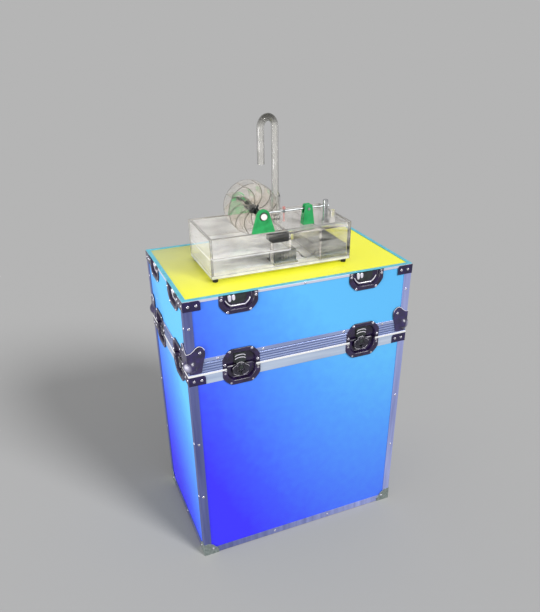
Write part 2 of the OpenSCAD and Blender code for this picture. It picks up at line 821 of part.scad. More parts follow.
module on_shaft(y) {
    unit() translate([shaft_x, y, shaft_z]) rotate([90, 0, 0]) children();
}

module wheel_shaft() {
    length = tank_d - sheet_t + bracket_t + 2 * (bush_flange_t + side_gap + cap_t - 1);
    color("#22282a") on_shaft(0) cylinder(r = shaft_r, h = length, center = true);
}

module shaft_caps() {
    seat = (tank_d - sheet_t + bracket_t) / 2 + bush_flange_t + side_gap;
    color("#e8e9ec") on_shaft(0) for (s = [0, 1]) mirror([0, 0, s]) translate([0, 0, seat]) difference() {
        cylinder(r = cap_r, h = cap_t);
        translate([0, 0, -1]) cylinder(r = shaft_r, h = cap_t);
    }
}

module wheel_hub() {
    color("#d5d7d9", 0.7) on_shaft(0) difference() {
        cylinder(r = hub_r, h = wheel_w - 2 * disc_t, center = true);
        cylinder(r = shaft_r, h = wheel_w, center = true);
    }
}

module wheel_discs() {
    color("#e4e5e7", 0.4) on_shaft(0) for (s = [-1, 1]) translate([0, 0, s * (wheel_w - disc_t) / 2]) difference() {
        cylinder(r = wheel_r, h = disc_t, center = true, $fn = 96);
        cylinder(r = shaft_r, h = disc_t + 2, center = true);
    }
}

// A vane is an arc that starts steeply at the hub and bends over towards the rim
module vane() {
    bend_r = (wheel_r + 9) / 2;
    intersection() {
        translate([bend_r + 2, 0]) difference() {
            circle(r = bend_r + vane_t / 2);
            circle(r = bend_r - vane_t / 2);
        }
        difference() {
            circle(r = wheel_r - 1);
            circle(r = hub_r);
        }
        translate([0, -2 * wheel_r]) square(2 * wheel_r);
    }
}

module wheel_vanes() {
    color("#cfd0d2", 0.5) on_shaft(0) linear_extrude(wheel_w - 2 * disc_t, center = true)
        for (i = [0:vane_count - 1]) rotate([0, 0, i * 360 / vane_count]) vane();
}

module trip_cam() {
    color("#2b3030") on_shaft(lever_y) difference() {
        union() {
            cylinder(r = cam_r, h = cam_w, center = true);
            for (i = [0:peg_count - 1]) rotate([0, 90, i * 360 / peg_count + 60]) cylinder(r = 2.5, h = peg_reach);
        }
        cylinder(r = shaft_r, h = cam_w + 2, center = true);
    }
}

// ---- trip hammer ----

module lever_arm() {
    color("#c6c9cd") unit() translate([0, lever_y, lever_z]) difference() {
        union() {
            translate([tail_x, 0, 0]) rotate([0, 90, 0]) cylinder(r = lever_r, h = hammer_x + hammer_r + 3 - tail_x);
            translate([lever_x, 0, 0]) rotate([90, 0, 0]) cylinder(r = lever_hub_r, h = fork_slot - 2 * side_gap, center = true);
            translate([screw_x, 0, 0]) cylinder(r = screw_r + 2.5, h = 2 * lever_r + 2, center = true);
        }
        translate([lever_x, 0, 0]) rotate([90, 0, 0]) cylinder(r = pin_r + run_gap, h = fork_slot + 2, center = true);
        translate([screw_x, 0, 0]) cylinder(r = screw_r, h = 20, center = true);
    }
}

module hammer() {
    color("#d8dade") unit() translate([hammer_x, lever_y, 0]) difference() {
        union() {
            translate([0, 0, hammer_low]) cylinder(r = hammer_r, h = hammer_h - 1.5);
            translate([0, 0, hammer_low + hammer_h - 1.5]) cylinder(r1 = hammer_r, r2 = hammer_r - 1.5, h = 1.5);
        }
        translate([0, 0, lever_z]) rotate([0, 90, 0]) cylinder(r = lever_r, h = 3 * hammer_r, center = true);
    }
}

module lift_screw() {
    color("#c94a4a") unit() translate([screw_x, lever_y, 0]) {
        translate([0, 0, screw_low]) cylinder(r = screw_r, h = lever_z + 7 - screw_low);
        translate([0, 0, screw_low - 1]) cylinder(r = screw_r + 1.5, h = 2);
        translate([0, 0, lever_z + lever_r + 4]) cylinder(r1 = 5, r2 = 4, h = 6);
    }
}

// ---- gooseneck ----

module gooseneck_spout() {
    bore = spout_r - spout_wall;
    rise = arch_z - socket_top;
    color("#e9eaec", 0.7) unit() translate([socket_x, socket_y, socket_top]) rotate([0, 0, spout_turn]) {
        translate([0, 0, 12.3 - socket_h]) tube(shank_r, bore, socket_h - 12.3 + side_gap);
        translate([0, 0, side_gap]) difference() {
            cylinder(r1 = socket_r, r2 = spout_r, h = cone_h);
            translate([0, 0, -1]) cylinder(r = bore, h = cone_h + 2);
        }
        translate([0, 0, cone_h + side_gap]) tube(spout_r, bore, rise - cone_h - side_gap);
        translate([arch_r, 0, rise]) rotate([90, 0, 0]) rotate_extrude(angle = 180) translate([arch_r, 0]) difference() {
            circle(r = spout_r);
            circle(r = bore);
        }
        translate([spout_reach, 0, rise - outlet_leg]) tube(spout_r, bore, outlet_leg);
    }
}

base_side_panels();
base_floor_panel();
base_edge_profiles();
seam_profile();
foot_corner_caps();
seam_brackets();
lower_latch_dishes();
latch_plates();
latch_hooks();
base_rivets();
upper_side_panels();
top_panel();
top_trim();
upper_edge_profiles();
valance();
ball_corners();
top_corner_brackets();
upper_latch_dishes();
top_edge_dishes();
latch_keepers();
upper_rivets();
latch_front_left();
latch_front_right();
latch_right_front();
latch_right_back();
latch_back_right();
latch_back_left();
latch_left_back();
latch_left_front();
tank_walls();
tank_bottom();
basin_floor();
basin_partition();
splash_deck();
dry_bulkhead();
rubber_feet();
wheel_brackets();
shaft_bushes();
lever_bracket();
lever_pin();
anvil();
vent_pipe();
spout_socket();
overflow_box();
overflow_pipe();
pump();
riser_hose();
pump_lead();
power_box();
wheel_shaft();
shaft_caps();
wheel_hub();
wheel_discs();
wheel_vanes();
trip_cam();
lever_arm();
hammer();
lift_screw();
gooseneck_spout();
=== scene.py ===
import json
import math
import bmesh
import bpy
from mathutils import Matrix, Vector

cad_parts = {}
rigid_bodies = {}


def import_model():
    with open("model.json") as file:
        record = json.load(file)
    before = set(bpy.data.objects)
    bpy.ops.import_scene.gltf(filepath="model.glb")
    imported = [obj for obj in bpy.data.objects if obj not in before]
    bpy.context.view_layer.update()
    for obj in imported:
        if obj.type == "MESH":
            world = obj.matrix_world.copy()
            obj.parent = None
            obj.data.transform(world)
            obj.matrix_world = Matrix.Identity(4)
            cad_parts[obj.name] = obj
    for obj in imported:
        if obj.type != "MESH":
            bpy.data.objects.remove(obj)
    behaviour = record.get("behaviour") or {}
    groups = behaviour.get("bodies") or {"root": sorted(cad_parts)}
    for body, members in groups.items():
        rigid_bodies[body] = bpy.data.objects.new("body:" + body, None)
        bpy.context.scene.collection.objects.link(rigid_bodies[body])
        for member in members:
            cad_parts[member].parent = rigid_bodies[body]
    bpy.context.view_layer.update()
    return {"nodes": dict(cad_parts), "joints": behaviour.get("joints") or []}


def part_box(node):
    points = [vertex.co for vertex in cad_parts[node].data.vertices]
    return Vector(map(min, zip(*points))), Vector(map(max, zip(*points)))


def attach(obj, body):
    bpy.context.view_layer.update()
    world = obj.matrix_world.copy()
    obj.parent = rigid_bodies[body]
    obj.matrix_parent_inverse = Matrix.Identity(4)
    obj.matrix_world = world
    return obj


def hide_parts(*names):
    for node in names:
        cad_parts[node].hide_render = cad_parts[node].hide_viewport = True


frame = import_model()
nodes = frame["nodes"]
mm = 0.001
caseHalfW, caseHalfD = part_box("top_trim")[1].xy
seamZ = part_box("valance")[0].z
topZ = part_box("top_panel")[1].z
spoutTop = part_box("gooseneck_spout")[1].z
latches = [joint for joint in frame["joints"] if joint["name"].startswith("latch_")]
print("frame loaded:", len(nodes), "nodes")


# Small helpers

def linear(hexText):
    # an sRGB hex colour as the linear colour that a shader wants
    parts = [int(hexText[i:i + 2], 16) / 255 for i in (1, 3, 5)]
    return [p / 12.92 if p <= 0.04045 else ((p + 0.055) / 1.055) ** 2.4 for p in parts] + [1.0]


def perMm(size):
    # texture scale that makes a pattern's cells this many millimetres across
    return 1000 / size


def addNode(material, kind, settings=None, links=None):
    node = material.node_tree.nodes.new("ShaderNode" + kind)
    for key, value in (settings or {}).items():
        if isinstance(key, str) and hasattr(node, key):
            setattr(node, key, value)
        else:
            node.inputs[key].default_value = value
    for key, source in (links or {}).items():
        material.node_tree.links.new(source, node.inputs[key])
    return node


def plug(material, source, shader, socket):
    material.node_tree.links.new(source, shader.inputs[socket])


def setRamp(ramp, stops):
    # stops is a list of (place, hex colour)
    elements = ramp.color_ramp.elements
    while len(elements) < len(stops):
        elements.new(0.5)
    for element, (place, colour) in zip(elements, stops):
        element.position = place
        element.color = linear(colour)


def startMaterial(name, **sockets):
    material = bpy.data.materials.new(name)
    material.use_nodes = True
    shader = material.node_tree.nodes["Principled BSDF"]
    for socket, value in sockets.items():
        shader.inputs[socket.replace("_", " ")].default_value = value
    return material, shader


def surfacePoint(material, stretch=(1, 1, 1)):
    coords = addNode(material, "TexCoord")
    mapping = addNode(material, "Mapping", {"Scale": stretch}, {"Vector": coords.outputs["Object"]})
    return mapping.outputs["Vector"]


def roughen(material, shader, pattern, rough):
    # gloss that follows a pattern, between its least and most roughness
    if rough[0] == rough[1]:
        shader.inputs["Roughness"].default_value = rough[0]
        return
    gloss = addNode(material, "MapRange", {"To Min": rough[0], "To Max": rough[1]}, {"Value": pattern})
    plug(material, gloss.outputs["Result"], shader, "Roughness")


def emboss(material, shader, pattern, strength, depthMm):
    bump = addNode(material, "Bump", {"Strength": strength, "Distance": depthMm * mm}, {"Height": pattern})
    plug(material, bump.outputs["Normal"], shader, "Normal")


def dress(material, shader, dark, light, toneMm, rough, grainMm, grainDepth, stretch=(1, 1, 1)):
    # slow drift of tone, a finer drift of gloss and a fine relief, all in the object's own millimetres
    point = surfacePoint(material, stretch)
    tone = addNode(material, "TexNoise", {"Scale": perMm(toneMm), "Detail": 3.0}, {"Vector": point})
    ramp = addNode(material, "ValToRGB", {}, {"Fac": tone.outputs["Fac"]})
    setRamp(ramp, [(0.3, dark), (0.7, light)])
    plug(material, ramp.outputs["Color"], shader, "Base Color")
    grain = addNode(material, "TexNoise", {"Scale": perMm(grainMm), "Detail": 4.0}, {"Vector": point})
    roughen(material, shader, grain.outputs["Fac"], rough)
    emboss(material, shader, grain.outputs["Fac"], 0.6, grainDepth)


# Materials

# Phenolic laminate pressed with a pebbled plate: saturated blue, its gloss broken into small soft dots.
# The colour runs from violet blue at the foot and left end of each face to sky blue at its top right: painted
# light, painted shade low and left and a painted highlight high and right.
laminateLook = {
    "stops": [(0.0, "#362eec"), (0.25, "#3a50ec"), (0.5, "#4376ec"), (0.75, "#4c94ed"), (1.0, "#5bb5ee")],
    "caseWidth": 0.7, "wideRun": 0.82, "wideRise": 0.85, "wideStart": -0.37,
    "narrowRun": 1.5, "narrowRise": 0.45, "narrowStart": -0.21,
    "bounce": "#8290a8", "bare": "#a88e64",
    "pebbleMm": 3.2, "pebbleDepth": 0.25, "rough": (0.34, 0.52), "mottleMm": 26, "mottle": 0.14,
}


def pebbledLaminate():
    blue = laminateLook
    material, shader = startMaterial("pebbledLaminate", IOR=1.5, Specular_IOR_Level=0.35)
    coords = addNode(material, "TexCoord")
    place = addNode(material, "SeparateXYZ", {}, {"Vector": coords.outputs["Object"]})
    facing = addNode(material, "SeparateXYZ", {}, {"Vector": coords.outputs["Normal"]})
    # on the wide faces the painted shade deepens quickly towards the left end, as seen from outside
    alongWide = addNode(material, "Math", {"operation": "MULTIPLY"},
                        {0: place.outputs["X"], 1: facing.outputs["Y"]})
    fromRight = addNode(material, "Math", {"operation": "MULTIPLY_ADD", 1: 1 / blue["caseWidth"], 2: 0.5},
                        {0: alongWide.outputs[0]})
    dropped = addNode(material, "Math", {"operation": "POWER", 1: 2.0}, {0: fromRight.outputs[0]})
    wide = addNode(material, "Math", {"operation": "MULTIPLY_ADD", 1: -blue["wideRun"],
                                      2: blue["wideRun"] + blue["wideStart"]}, {0: dropped.outputs[0]})
    # on the narrow faces it runs evenly along
    alongNarrow = addNode(material, "Math", {"operation": "MULTIPLY"},
                          {0: place.outputs["Y"], 1: facing.outputs["X"]})
    narrow = addNode(material, "Math", {"operation": "MULTIPLY_ADD", 1: blue["narrowRun"]},
                     {0: alongNarrow.outputs[0], 2: wide.outputs[0]})
    narrowFace = addNode(material, "Math", {"operation": "ABSOLUTE"}, {0: facing.outputs["X"]})
    started = addNode(material, "Math", {"operation": "MULTIPLY_ADD", 1: blue["narrowStart"]},
                      {0: narrowFace.outputs[0], 2: narrow.outputs[0]})
    rise = addNode(material, "Math", {"operation": "MULTIPLY_ADD", 1: blue["narrowRise"],
                                      2: blue["wideRise"]}, {0: narrowFace.outputs[0]})
    height = addNode(material, "Math", {"operation": "MULTIPLY_ADD"},
                     {0: place.outputs["Z"], 1: rise.outputs[0], 2: started.outputs[0]})
    # a slow mottle shifts the colour either way along the ramp
    mottle = addNode(material, "TexNoise", {"Scale": perMm(blue["mottleMm"]), "Detail": 5.0},
                     {"Vector": coords.outputs["Object"]})
    shade = addNode(material, "Math", {"operation": "MULTIPLY_ADD", 1: blue["mottle"]},
                    {0: mottle.outputs["Fac"], 2: height.outputs[0]})
    moved = addNode(material, "Math", {"operation": "SUBTRACT", 1: blue["mottle"] / 2}, {0: shade.outputs[0]})
    ramp = addNode(material, "ValToRGB", {}, {"Fac": moved.outputs[0]})
    setRamp(ramp, blue["stops"])
    # light that bounces off the laminate onto the floor and the fittings is kept nearly grey
    ray = addNode(material, "LightPath")
    bounced = addNode(material, "MixRGB", {2: linear(blue["bounce"])},
                      {0: ray.outputs["Is Diffuse Ray"], 1: ramp.outputs["Color"]})
    # the inside of each panel is its bare plywood
    inward = addNode(material, "VectorMath", {"operation": "DOT_PRODUCT"},
                     {0: coords.outputs["Object"], 1: coords.outputs["Normal"]})
    bare = addNode(material, "Math", {"operation": "LESS_THAN", 1: 0.0}, {0: inward.outputs["Value"]})
    panel = addNode(material, "MixRGB", {2: linear(blue["bare"])},
                    {0: bare.outputs[0], 1: bounced.outputs[0]})
    plug(material, panel.outputs[0], shader, "Base Color")
    pebbles = addNode(material, "TexVoronoi", {"Scale": perMm(blue["pebbleMm"]), "feature": "SMOOTH_F1"},
                      {"Vector": coords.outputs["Object"]})
    emboss(material, shader, pebbles.outputs["Distance"], 0.35, blue["pebbleDepth"])
    roughen(material, shader, pebbles.outputs["Distance"], blue["rough"])
    return material


# Smooth melamine laminate on the top: bright yellow, duller and greyer towards the back left as painted
# shade, where the tank's shadow falls
topLook = {
    "stops": [(0.08, "#bcc28e"), (0.4, "#d4d67c"), (0.72, "#f4f358"), (0.95, "#fffe3e")],
    "wornCorner": (-0.35, 0.215, 0.918), "perMetre": 2.1, "cloudMm": 60, "cloud": 0.16,
    "fineMm": 1.6, "fineDepth": 0.08, "rough": (0.28, 0.46),
}


def smoothLaminate():
    top = topLook
    material, shader = startMaterial("smoothLaminate", IOR=1.5)
    coords = addNode(material, "TexCoord")
    cloud = addNode(material, "TexNoise", {"Scale": perMm(top["cloudMm"]), "Detail": 4.0},
                    {"Vector": coords.outputs["Object"]})
    # painted shade: the yellow dulls towards the back left corner
    worn = addNode(material, "VectorMath", {"operation": "DISTANCE", 1: top["wornCorner"]},
                   {0: coords.outputs["Object"]})
    far = addNode(material, "Math", {"operation": "MULTIPLY", 1: top["perMetre"]}, {0: worn.outputs["Value"]})
    shade = addNode(material, "Math", {"operation": "MULTIPLY_ADD", 1: top["cloud"]},
                    {0: cloud.outputs["Fac"], 2: far.outputs[0]})
    ramp = addNode(material, "ValToRGB", {}, {"Fac": shade.outputs[0]})
    setRamp(ramp, top["stops"])
    plug(material, ramp.outputs["Color"], shader, "Base Color")
    fine = addNode(material, "TexNoise", {"Scale": perMm(top["fineMm"]), "Detail": 3.0},
                   {"Vector": coords.outputs["Object"]})
    emboss(material, shader, fine.outputs["Fac"], 0.25, top["fineDepth"])
    roughen(material, shader, cloud.outputs["Fac"], top["rough"])
    return material


# Extruded aluminium, satin anodised: faint die lines along its length and a cool violet tint.
# The anodic film scatters light, so the finish is part mirror and part chalky.
alongSeam = (0.06, 0.06, 1)  # die lines run round the case
alongEdge = (1, 1, 0.06)  # die lines run up the edge


def anodisedAluminium(name, dark, light, rough, stretch, metallic=0.8):
    material, shader = startMaterial(name, Metallic=metallic)
    dress(material, shader, dark, light, 18, rough, grainMm=1.4, grainDepth=0.05, stretch=stretch)
    return material


def repaintStart(material):
    # the shader, the colour it already has, and the place on the object, for painting over part of a finish
    shader = material.node_tree.nodes["Principled BSDF"]
    painted = shader.inputs["Base Color"].links[0].from_socket
    coords = addNode(material, "TexCoord")
    return shader, painted, addNode(material, "SeparateXYZ", {}, {"Vector": coords.outputs["Object"]})


# The same extrusion where it meets the lid: its rounded bead is painted white as a painted highlight, the
# rest stays satin
beadLook = {"beadMm": 6.6, "metallic": 0.45, "rough": (0.3, 0.46), "bright": "#ffffff",
            "satinDark": "#a9b9d6", "satinLight": "#d3e0f2"}


def beadedAluminium():
    bead = beadLook
    material = anodisedAluminium("anodisedSeam", bead["satinDark"], bead["satinLight"], bead["rough"],
                                 alongSeam, bead["metallic"])
    shader, satin, place = repaintStart(material)
    # painted highlight: everything above the bead's foot is painted white
    onBead = addNode(material, "Math", {"operation": "GREATER_THAN", 1: seamZ - bead["beadMm"] * mm},
                     {0: place.outputs["Z"]})
    colour = addNode(material, "MixRGB", {2: linear(bead["bright"])}, {0: onBead.outputs[0], 1: satin})
    plug(material, colour.outputs[0], shader, "Base Color")
    return material


# The corner extrusions: slate violet on the left, paler towards the right, painted light like the laminate
# they frame: painted shade on the left, a painted highlight on the right
edgeLook = {"metal": ("#949ccf", "#c0c8f6"), "metallic": 0.6, "rough": (0.3, 0.5),
            "left": "#9598b4", "right": "#f4f6ff", "reach": 0.36, "railMm": 12, "wiped": "#e2e5f6"}


def edgeAluminium():
    edge = edgeLook
    material = anodisedAluminium("anodisedEdge", *edge["metal"], edge["rough"], alongEdge, edge["metallic"])
    shader, satin, place = repaintStart(material)
    # painted light: darker at the case's left end, paler at its right
    share = addNode(material, "MapRange", {"From Min": -edge["reach"], "From Max": edge["reach"]},
                    {"Value": place.outputs["X"]})
    side = addNode(material, "ValToRGB", {}, {"Fac": share.outputs["Result"]})
    setRamp(side, [(0.0, edge["left"]), (0.8, edge["right"])])
    colour = addNode(material, "MixRGB", {"blend_type": "MULTIPLY", 0: 1.0},
                     {1: satin, 2: side.outputs["Color"]})
    # the rail under the lid's edge is painted paler
    rail = addNode(material, "Math", {"operation": "GREATER_THAN", 1: topZ - edge["railMm"] * mm},
                   {0: place.outputs["Z"]})
    wiped = addNode(material, "MixRGB", {2: linear(edge["wiped"])},
                    {0: rail.outputs[0], 1: colour.outputs[0]})
    plug(material, wiped.outputs[0], shader, "Base Color")
    return material


# The ribbed valance: grime and painted shade darken its grooves, so they read as dark lines between pale ribs
ribLook = {"pitchMm": 8, "firstMm": 4, "ribbedMm": 35, "pale": ("#8f9ed0", "#bfcdf6"), "grime": "#7380b0",
           "metallic": 0.7, "rough": (0.26, 0.42)}


def ribbedAluminium():
    rib = ribLook
    material = anodisedAluminium("anodisedValance", *rib["pale"], rib["rough"], alongSeam, rib["metallic"])
    shader, satin, place = repaintStart(material)
    turns = addNode(material, "Math", {"operation": "MULTIPLY_ADD", 1: 1000 / rib["pitchMm"],
                                       2: -(seamZ * 1000 + rib["firstMm"]) / rib["pitchMm"]},
                    {0: place.outputs["Z"]})
    share = addNode(material, "Math", {"operation": "FRACT"}, {0: turns.outputs[0]})
    groove = addNode(material, "Math", {"operation": "GREATER_THAN", 1: 0.5}, {0: share.outputs[0]})
    ribbed = addNode(material, "Math", {"operation": "LESS_THAN", 1: seamZ + rib["ribbedMm"] * mm},
                     {0: place.outputs["Z"]})
    # grime and painted shade in the lower grooves
    grimeAndShadeMask = addNode(material, "Math", {"operation": "MULTIPLY"}, {0: groove.outputs[0], 1: ribbed.outputs[0]})
    colour = addNode(material, "MixRGB", {2: linear(rib["grime"])}, {0: grimeAndShadeMask.outputs[0], 1: satin})
    plug(material, colour.outputs[0], shader, "Base Color")
    return material


# Steel pressings in black powder coat: fine orange peel, a soft violet sheen
def powderCoat(name, dark, light, rough, coat=0.5, coatRough=0.12, peelMm=0.06):
    material, shader = startMaterial(name, IOR=1.5, Coat_Weight=coat, Coat_Roughness=coatRough)
    dress(material, shader, dark, light, 14, rough, grainMm=1.1, grainDepth=peelMm)
    return material


# The ball corners carry a painted highlight: the lacquer is painted pale round the ball's outermost point
ballGlint = {"outMm": 4.8, "upMm": 26, "rubbedMm": 5, "fadeMm": 16, "steel": "#8d8ba2"}


def glintPaintedLacquer():
    glint = ballGlint
    material = powderCoat("ballLacquer", "#130a30", "#281858", (0.3, 0.42), 1.0, 0.26, 0.02)
    shader = material.node_tree.nodes["Principled BSDF"]
    lacquer = shader.inputs["Base Color"].links[0].from_socket
    coords = addNode(material, "TexCoord")
    # one corner stands for all four
    folded = addNode(material, "VectorMath", {"operation": "ABSOLUTE"}, {0: coords.outputs["Object"]})
    tip = (caseHalfW + glint["outMm"] * mm, caseHalfD + glint["outMm"] * mm, seamZ + glint["upMm"] * mm)
    away = addNode(material, "VectorMath", {"operation": "DISTANCE", 1: tip}, {0: folded.outputs[0]})
    # painted highlight, fading out from the ball's outermost point
    worn = addNode(material, "MapRange", {"From Min": glint["fadeMm"] * mm, "From Max": glint["rubbedMm"] * mm},
                   {"Value": away.outputs["Value"]})
    colour = addNode(material, "MixRGB", {2: linear(glint["steel"])}, {0: worn.outputs["Result"], 1: lacquer})
    plug(material, colour.outputs[0], shader, "Base Color")
    return material


# Bright zinc on pressed steel: slightly cloudy mirror with rolling marks
def brightZinc(name, dark, light, rough):
    material, shader = startMaterial(name, Metallic=1.0)
    dress(material, shader, dark, light, 9, rough, grainMm=0.9, grainDepth=0.03)
    return material


# Cast acrylic sheet: clear, with streaks of warm white haze that drying water and wiping leave along it.
# Lamps shine through it, so what stands behind or inside it stays bright. haze is its least and most.
acrylicLook = {"stainMm": 34, "streakMm": 9, "scratchMm": 2.2, "streaksFrom": 0.38, "streaksTo": 0.62}
# the tube's outline is painted dark as a painted reflection; the crown of the bend is painted darker
tubeOutline = {"edge": "#211f1a", "from": 0.4, "to": 0.72,
               "crown": "#57554b", "crownFromMm": 34, "crownToMm": 4, "crownShare": 0.8}
# the tank's front sheet is wiped more often than the others
frontWipe = {"reachMm": 9, "clearer": 0.06}


def castAcrylic(name, tint, haze, roughness, passHex="#e6e6e4", outline=None, wipe=None):
    material, shader = startMaterial(name, IOR=1.49)
    point = surfacePoint(material)
    stain = addNode(material, "TexNoise", {"Scale": perMm(acrylicLook["stainMm"]), "Detail": 5.0,
                                           "Roughness": 0.6}, {"Vector": point})
    ramp = addNode(material, "ValToRGB", {}, {"Fac": stain.outputs["Fac"]})
    setRamp(ramp, [(0.3, tint[0]), (0.7, tint[1])])
    colour = ramp.outputs["Color"]
    if outline:
        # painted reflection: the colour darkens towards the outline
        edgeOn = addNode(material, "LayerWeight", {"Blend": 0.5})
        narrow = addNode(material, "MapRange", {"From Min": outline["from"], "From Max": outline["to"]},
                         {"Value": edgeOn.outputs["Facing"]})
        rimmed = addNode(material, "MixRGB", {2: linear(outline["edge"])},
                         {0: narrow.outputs["Result"], 1: colour})
        place = addNode(material, "SeparateXYZ", {}, {"Vector": point})
        crown = addNode(material, "MapRange", {"From Min": spoutTop - outline["crownFromMm"] * mm,
                                               "From Max": spoutTop - outline["crownToMm"] * mm,
                                               "To Max": outline["crownShare"]},
                        {"Value": place.outputs["Z"]})
        darkerCrown = addNode(material, "MixRGB", {2: linear(outline["crown"])},
                         {0: crown.outputs["Result"], 1: rimmed.outputs[0]})
        colour = darkerCrown.outputs[0]
    plug(material, colour, shader, "Base Color")
    streaks = addNode(material, "TexNoise", {"Scale": perMm(acrylicLook["streakMm"]), "Detail": 5.0},
                      {"Vector": surfacePoint(material, (0.12, 0.12, 1))})
    clear = addNode(material, "MapRange", {"From Min": acrylicLook["streaksFrom"],
                                           "From Max": acrylicLook["streaksTo"],
                                           "To Min": 1 - haze[0], "To Max": 1 - haze[1]},
                    {"Value": streaks.outputs["Fac"]}).outputs["Result"]
    if wipe:
        place = addNode(material, "SeparateXYZ", {}, {"Vector": point})
        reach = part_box("tank_walls")[0].y + wipe["reachMm"] * mm
        front = addNode(material, "Math", {"operation": "LESS_THAN", 1: reach}, {0: place.outputs["Y"]})
        clear = addNode(material, "Math", {"operation": "MULTIPLY_ADD", 1: wipe["clearer"]},
                        {0: front.outputs[0], 2: clear}).outputs[0]
    plug(material, clear, shader, "Transmission Weight")
    scratches = addNode(material, "TexNoise", {"Scale": perMm(acrylicLook["scratchMm"]), "Detail": 6.0},
                        {"Vector": surfacePoint(material, (0.15, 1, 1))})
    roughen(material, shader, scratches.outputs["Fac"], roughness)
    passing = addNode(material, "BsdfTransparent", {"Color": linear(passHex)})
    ray = addNode(material, "LightPath")
    both = addNode(material, "MixShader", {}, {0: ray.outputs["Is Shadow Ray"], 1: shader.outputs[0],
                                               2: passing.outputs[0]})
    plug(material, both.outputs[0], material.node_tree.nodes["Material Output"], "Surface")
    return material


# Moulded plastic or rubber: even colour with a faint flow pattern and the tool's fine texture
def moulded(name, dark, light, rough, grainMm=0.9, depth=0.04, **sockets):
    material, shader = startMaterial(name, **sockets)
    dress(material, shader, dark, light, 22, rough, grainMm, depth)
    return material


# Turned steel: bright rings left by the tool, drawn at 1.2 mm so that they show
def turnedSteel(name, dark, light, rough):
    material, shader = startMaterial(name, Metallic=1.0)
    dress(material, shader, dark, light, 12, rough, grainMm=1.2, grainDepth=0.03, stretch=(1, 0.2, 1))
    return material


# Birch plywood: pale veneer with long soft grain, 6 mm between its darker lines
def birchPlywood():
    material, shader = startMaterial("birchPlywood", IOR=1.45)
    dress(material, shader, "#8d7450", "#b59a6c", 30, (0.55, 0.75), grainMm=6, grainDepth=0.1,
          stretch=(0.08, 1, 1))
    return material


look = {
    "blueLaminate": pebbledLaminate(),
    "yellowLaminate": smoothLaminate(),
    "plywood": birchPlywood(),
    "edgeAluminium": edgeAluminium(),
    "ribbedAluminium": ribbedAluminium(),
    "seamAluminium": beadedAluminium(),
    "capSteel": brightZinc("galvanisedCap", "#8f9c98", "#b9c2bf", (0.4, 0.62)),
    "blackFitting": powderCoat("violetBlackCoat", "#0d0529", "#1d0c4c", (0.2, 0.34)),
    "ballLacquer": glintPaintedLacquer(),
    "blackDish": powderCoat("dishLacquer", "#12091f", "#2a1a48", (0.24, 0.4), 0.5, 0.3, 0.015),
    "blackHandle": powderCoat("handleLacquer", "#12101a", "#2c2a3a", (0.12, 0.26)),
    "latchSteel": powderCoat("blackenedPlate", "#131a1a", "#2b3334", (0.24, 0.42)),
    "rivet": brightZinc("rivetHead", "#d6d2e2", "#f6f3fb", (0.2, 0.34)),
    "cyanTrim": powderCoat("cyanEnamel", "#3fb2cf", "#5ccbe0", (0.24, 0.4)),
    "acrylic": castAcrylic("castAcrylic", ("#f0edea", "#fefdfc"), (0.07, 0.22), (0.0, 0.02),
                           wipe=frontWipe),
    "hazyAcrylic": castAcrylic("waterStainedAcrylic", ("#d6d8dc", "#f2f2f3"), (0.6, 0.85), (0.04, 0.16)),
    "wheelAcrylic": castAcrylic("wheelAcrylic", ("#f8f3ee", "#fffdfb"), (0.02, 0.07), (0.0, 0.004),
                                "#f6f5f2"),
    "vaneAcrylic": castAcrylic("vaneAcrylic", ("#f4efe6", "#fdfbf6"), (0.02, 0.06), (0.0, 0.01), "#f6f5f2"),
    "tube": castAcrylic("acrylicTube", ("#f8f7f4", "#fffefc"), (0.03, 0.05), (0.0, 0.0), "#f4f4f2",
                        tubeOutline),
    "hose": castAcrylic("softVinyl", ("#c8c9c4", "#dfdfd9"), (0.3, 0.5), (0.2, 0.35)),
    # dark lines, partly cement and partly painted shade along the acrylic's edges
    "seamCement": moulded("smokedCement", "#5d5a50", "#7d786c", (0.2, 0.35), IOR=1.49),
    "capNylon": moulded("whiteNylon", "#d9d9d4", "#f4f4f0", (0.25, 0.4), IOR=1.53),
    "arcSteel": anodisedAluminium("polishedRib", "#e6e0f4", "#ffffff", (0.15, 0.3), (1, 1, 1), 0.35),
    "leverSteel": turnedSteel("dullRod", "#7e8284", "#b2b6b8", (0.22, 0.36)),
    "greenAcrylic": moulded("greenAcrylic", "#178a48", "#2cab62", (0.12, 0.24), 3, 0.02, IOR=1.49,
                            Coat_Weight=0.4),
    "rubber": moulded("blackRubber", "#0b0c0c", "#1c1d1e", (0.6, 0.8), 0.8, 0.1, IOR=1.5),
    "blackPlastic": moulded("blackAbs", "#0d1011", "#202425", (0.3, 0.5), IOR=1.53),
    "pumpPlastic": moulded("pumpHousing", "#141b19", "#2a3430", (0.34, 0.55), IOR=1.53),
    "boxPlastic": moulded("powerBoxAbs", "#222825", "#414943", (0.4, 0.6), IOR=1.53),
    "lead": moulded("vinylJacket", "#16191a", "#2a2f30", (0.4, 0.55), IOR=1.5),
    "redKnob": moulded("paleRedNylon", "#b06a66", "#dcb4b0", (0.2, 0.32), IOR=1.5),
    "darkSteel": turnedSteel("blackenedSteel", "#1c2422", "#3a423e", (0.3, 0.44)),
    "brightSteel": turnedSteel("turnedStainless", "#b4b6b8", "#eceeef", (0.18, 0.32)),
}
print("materials made:", len(look))

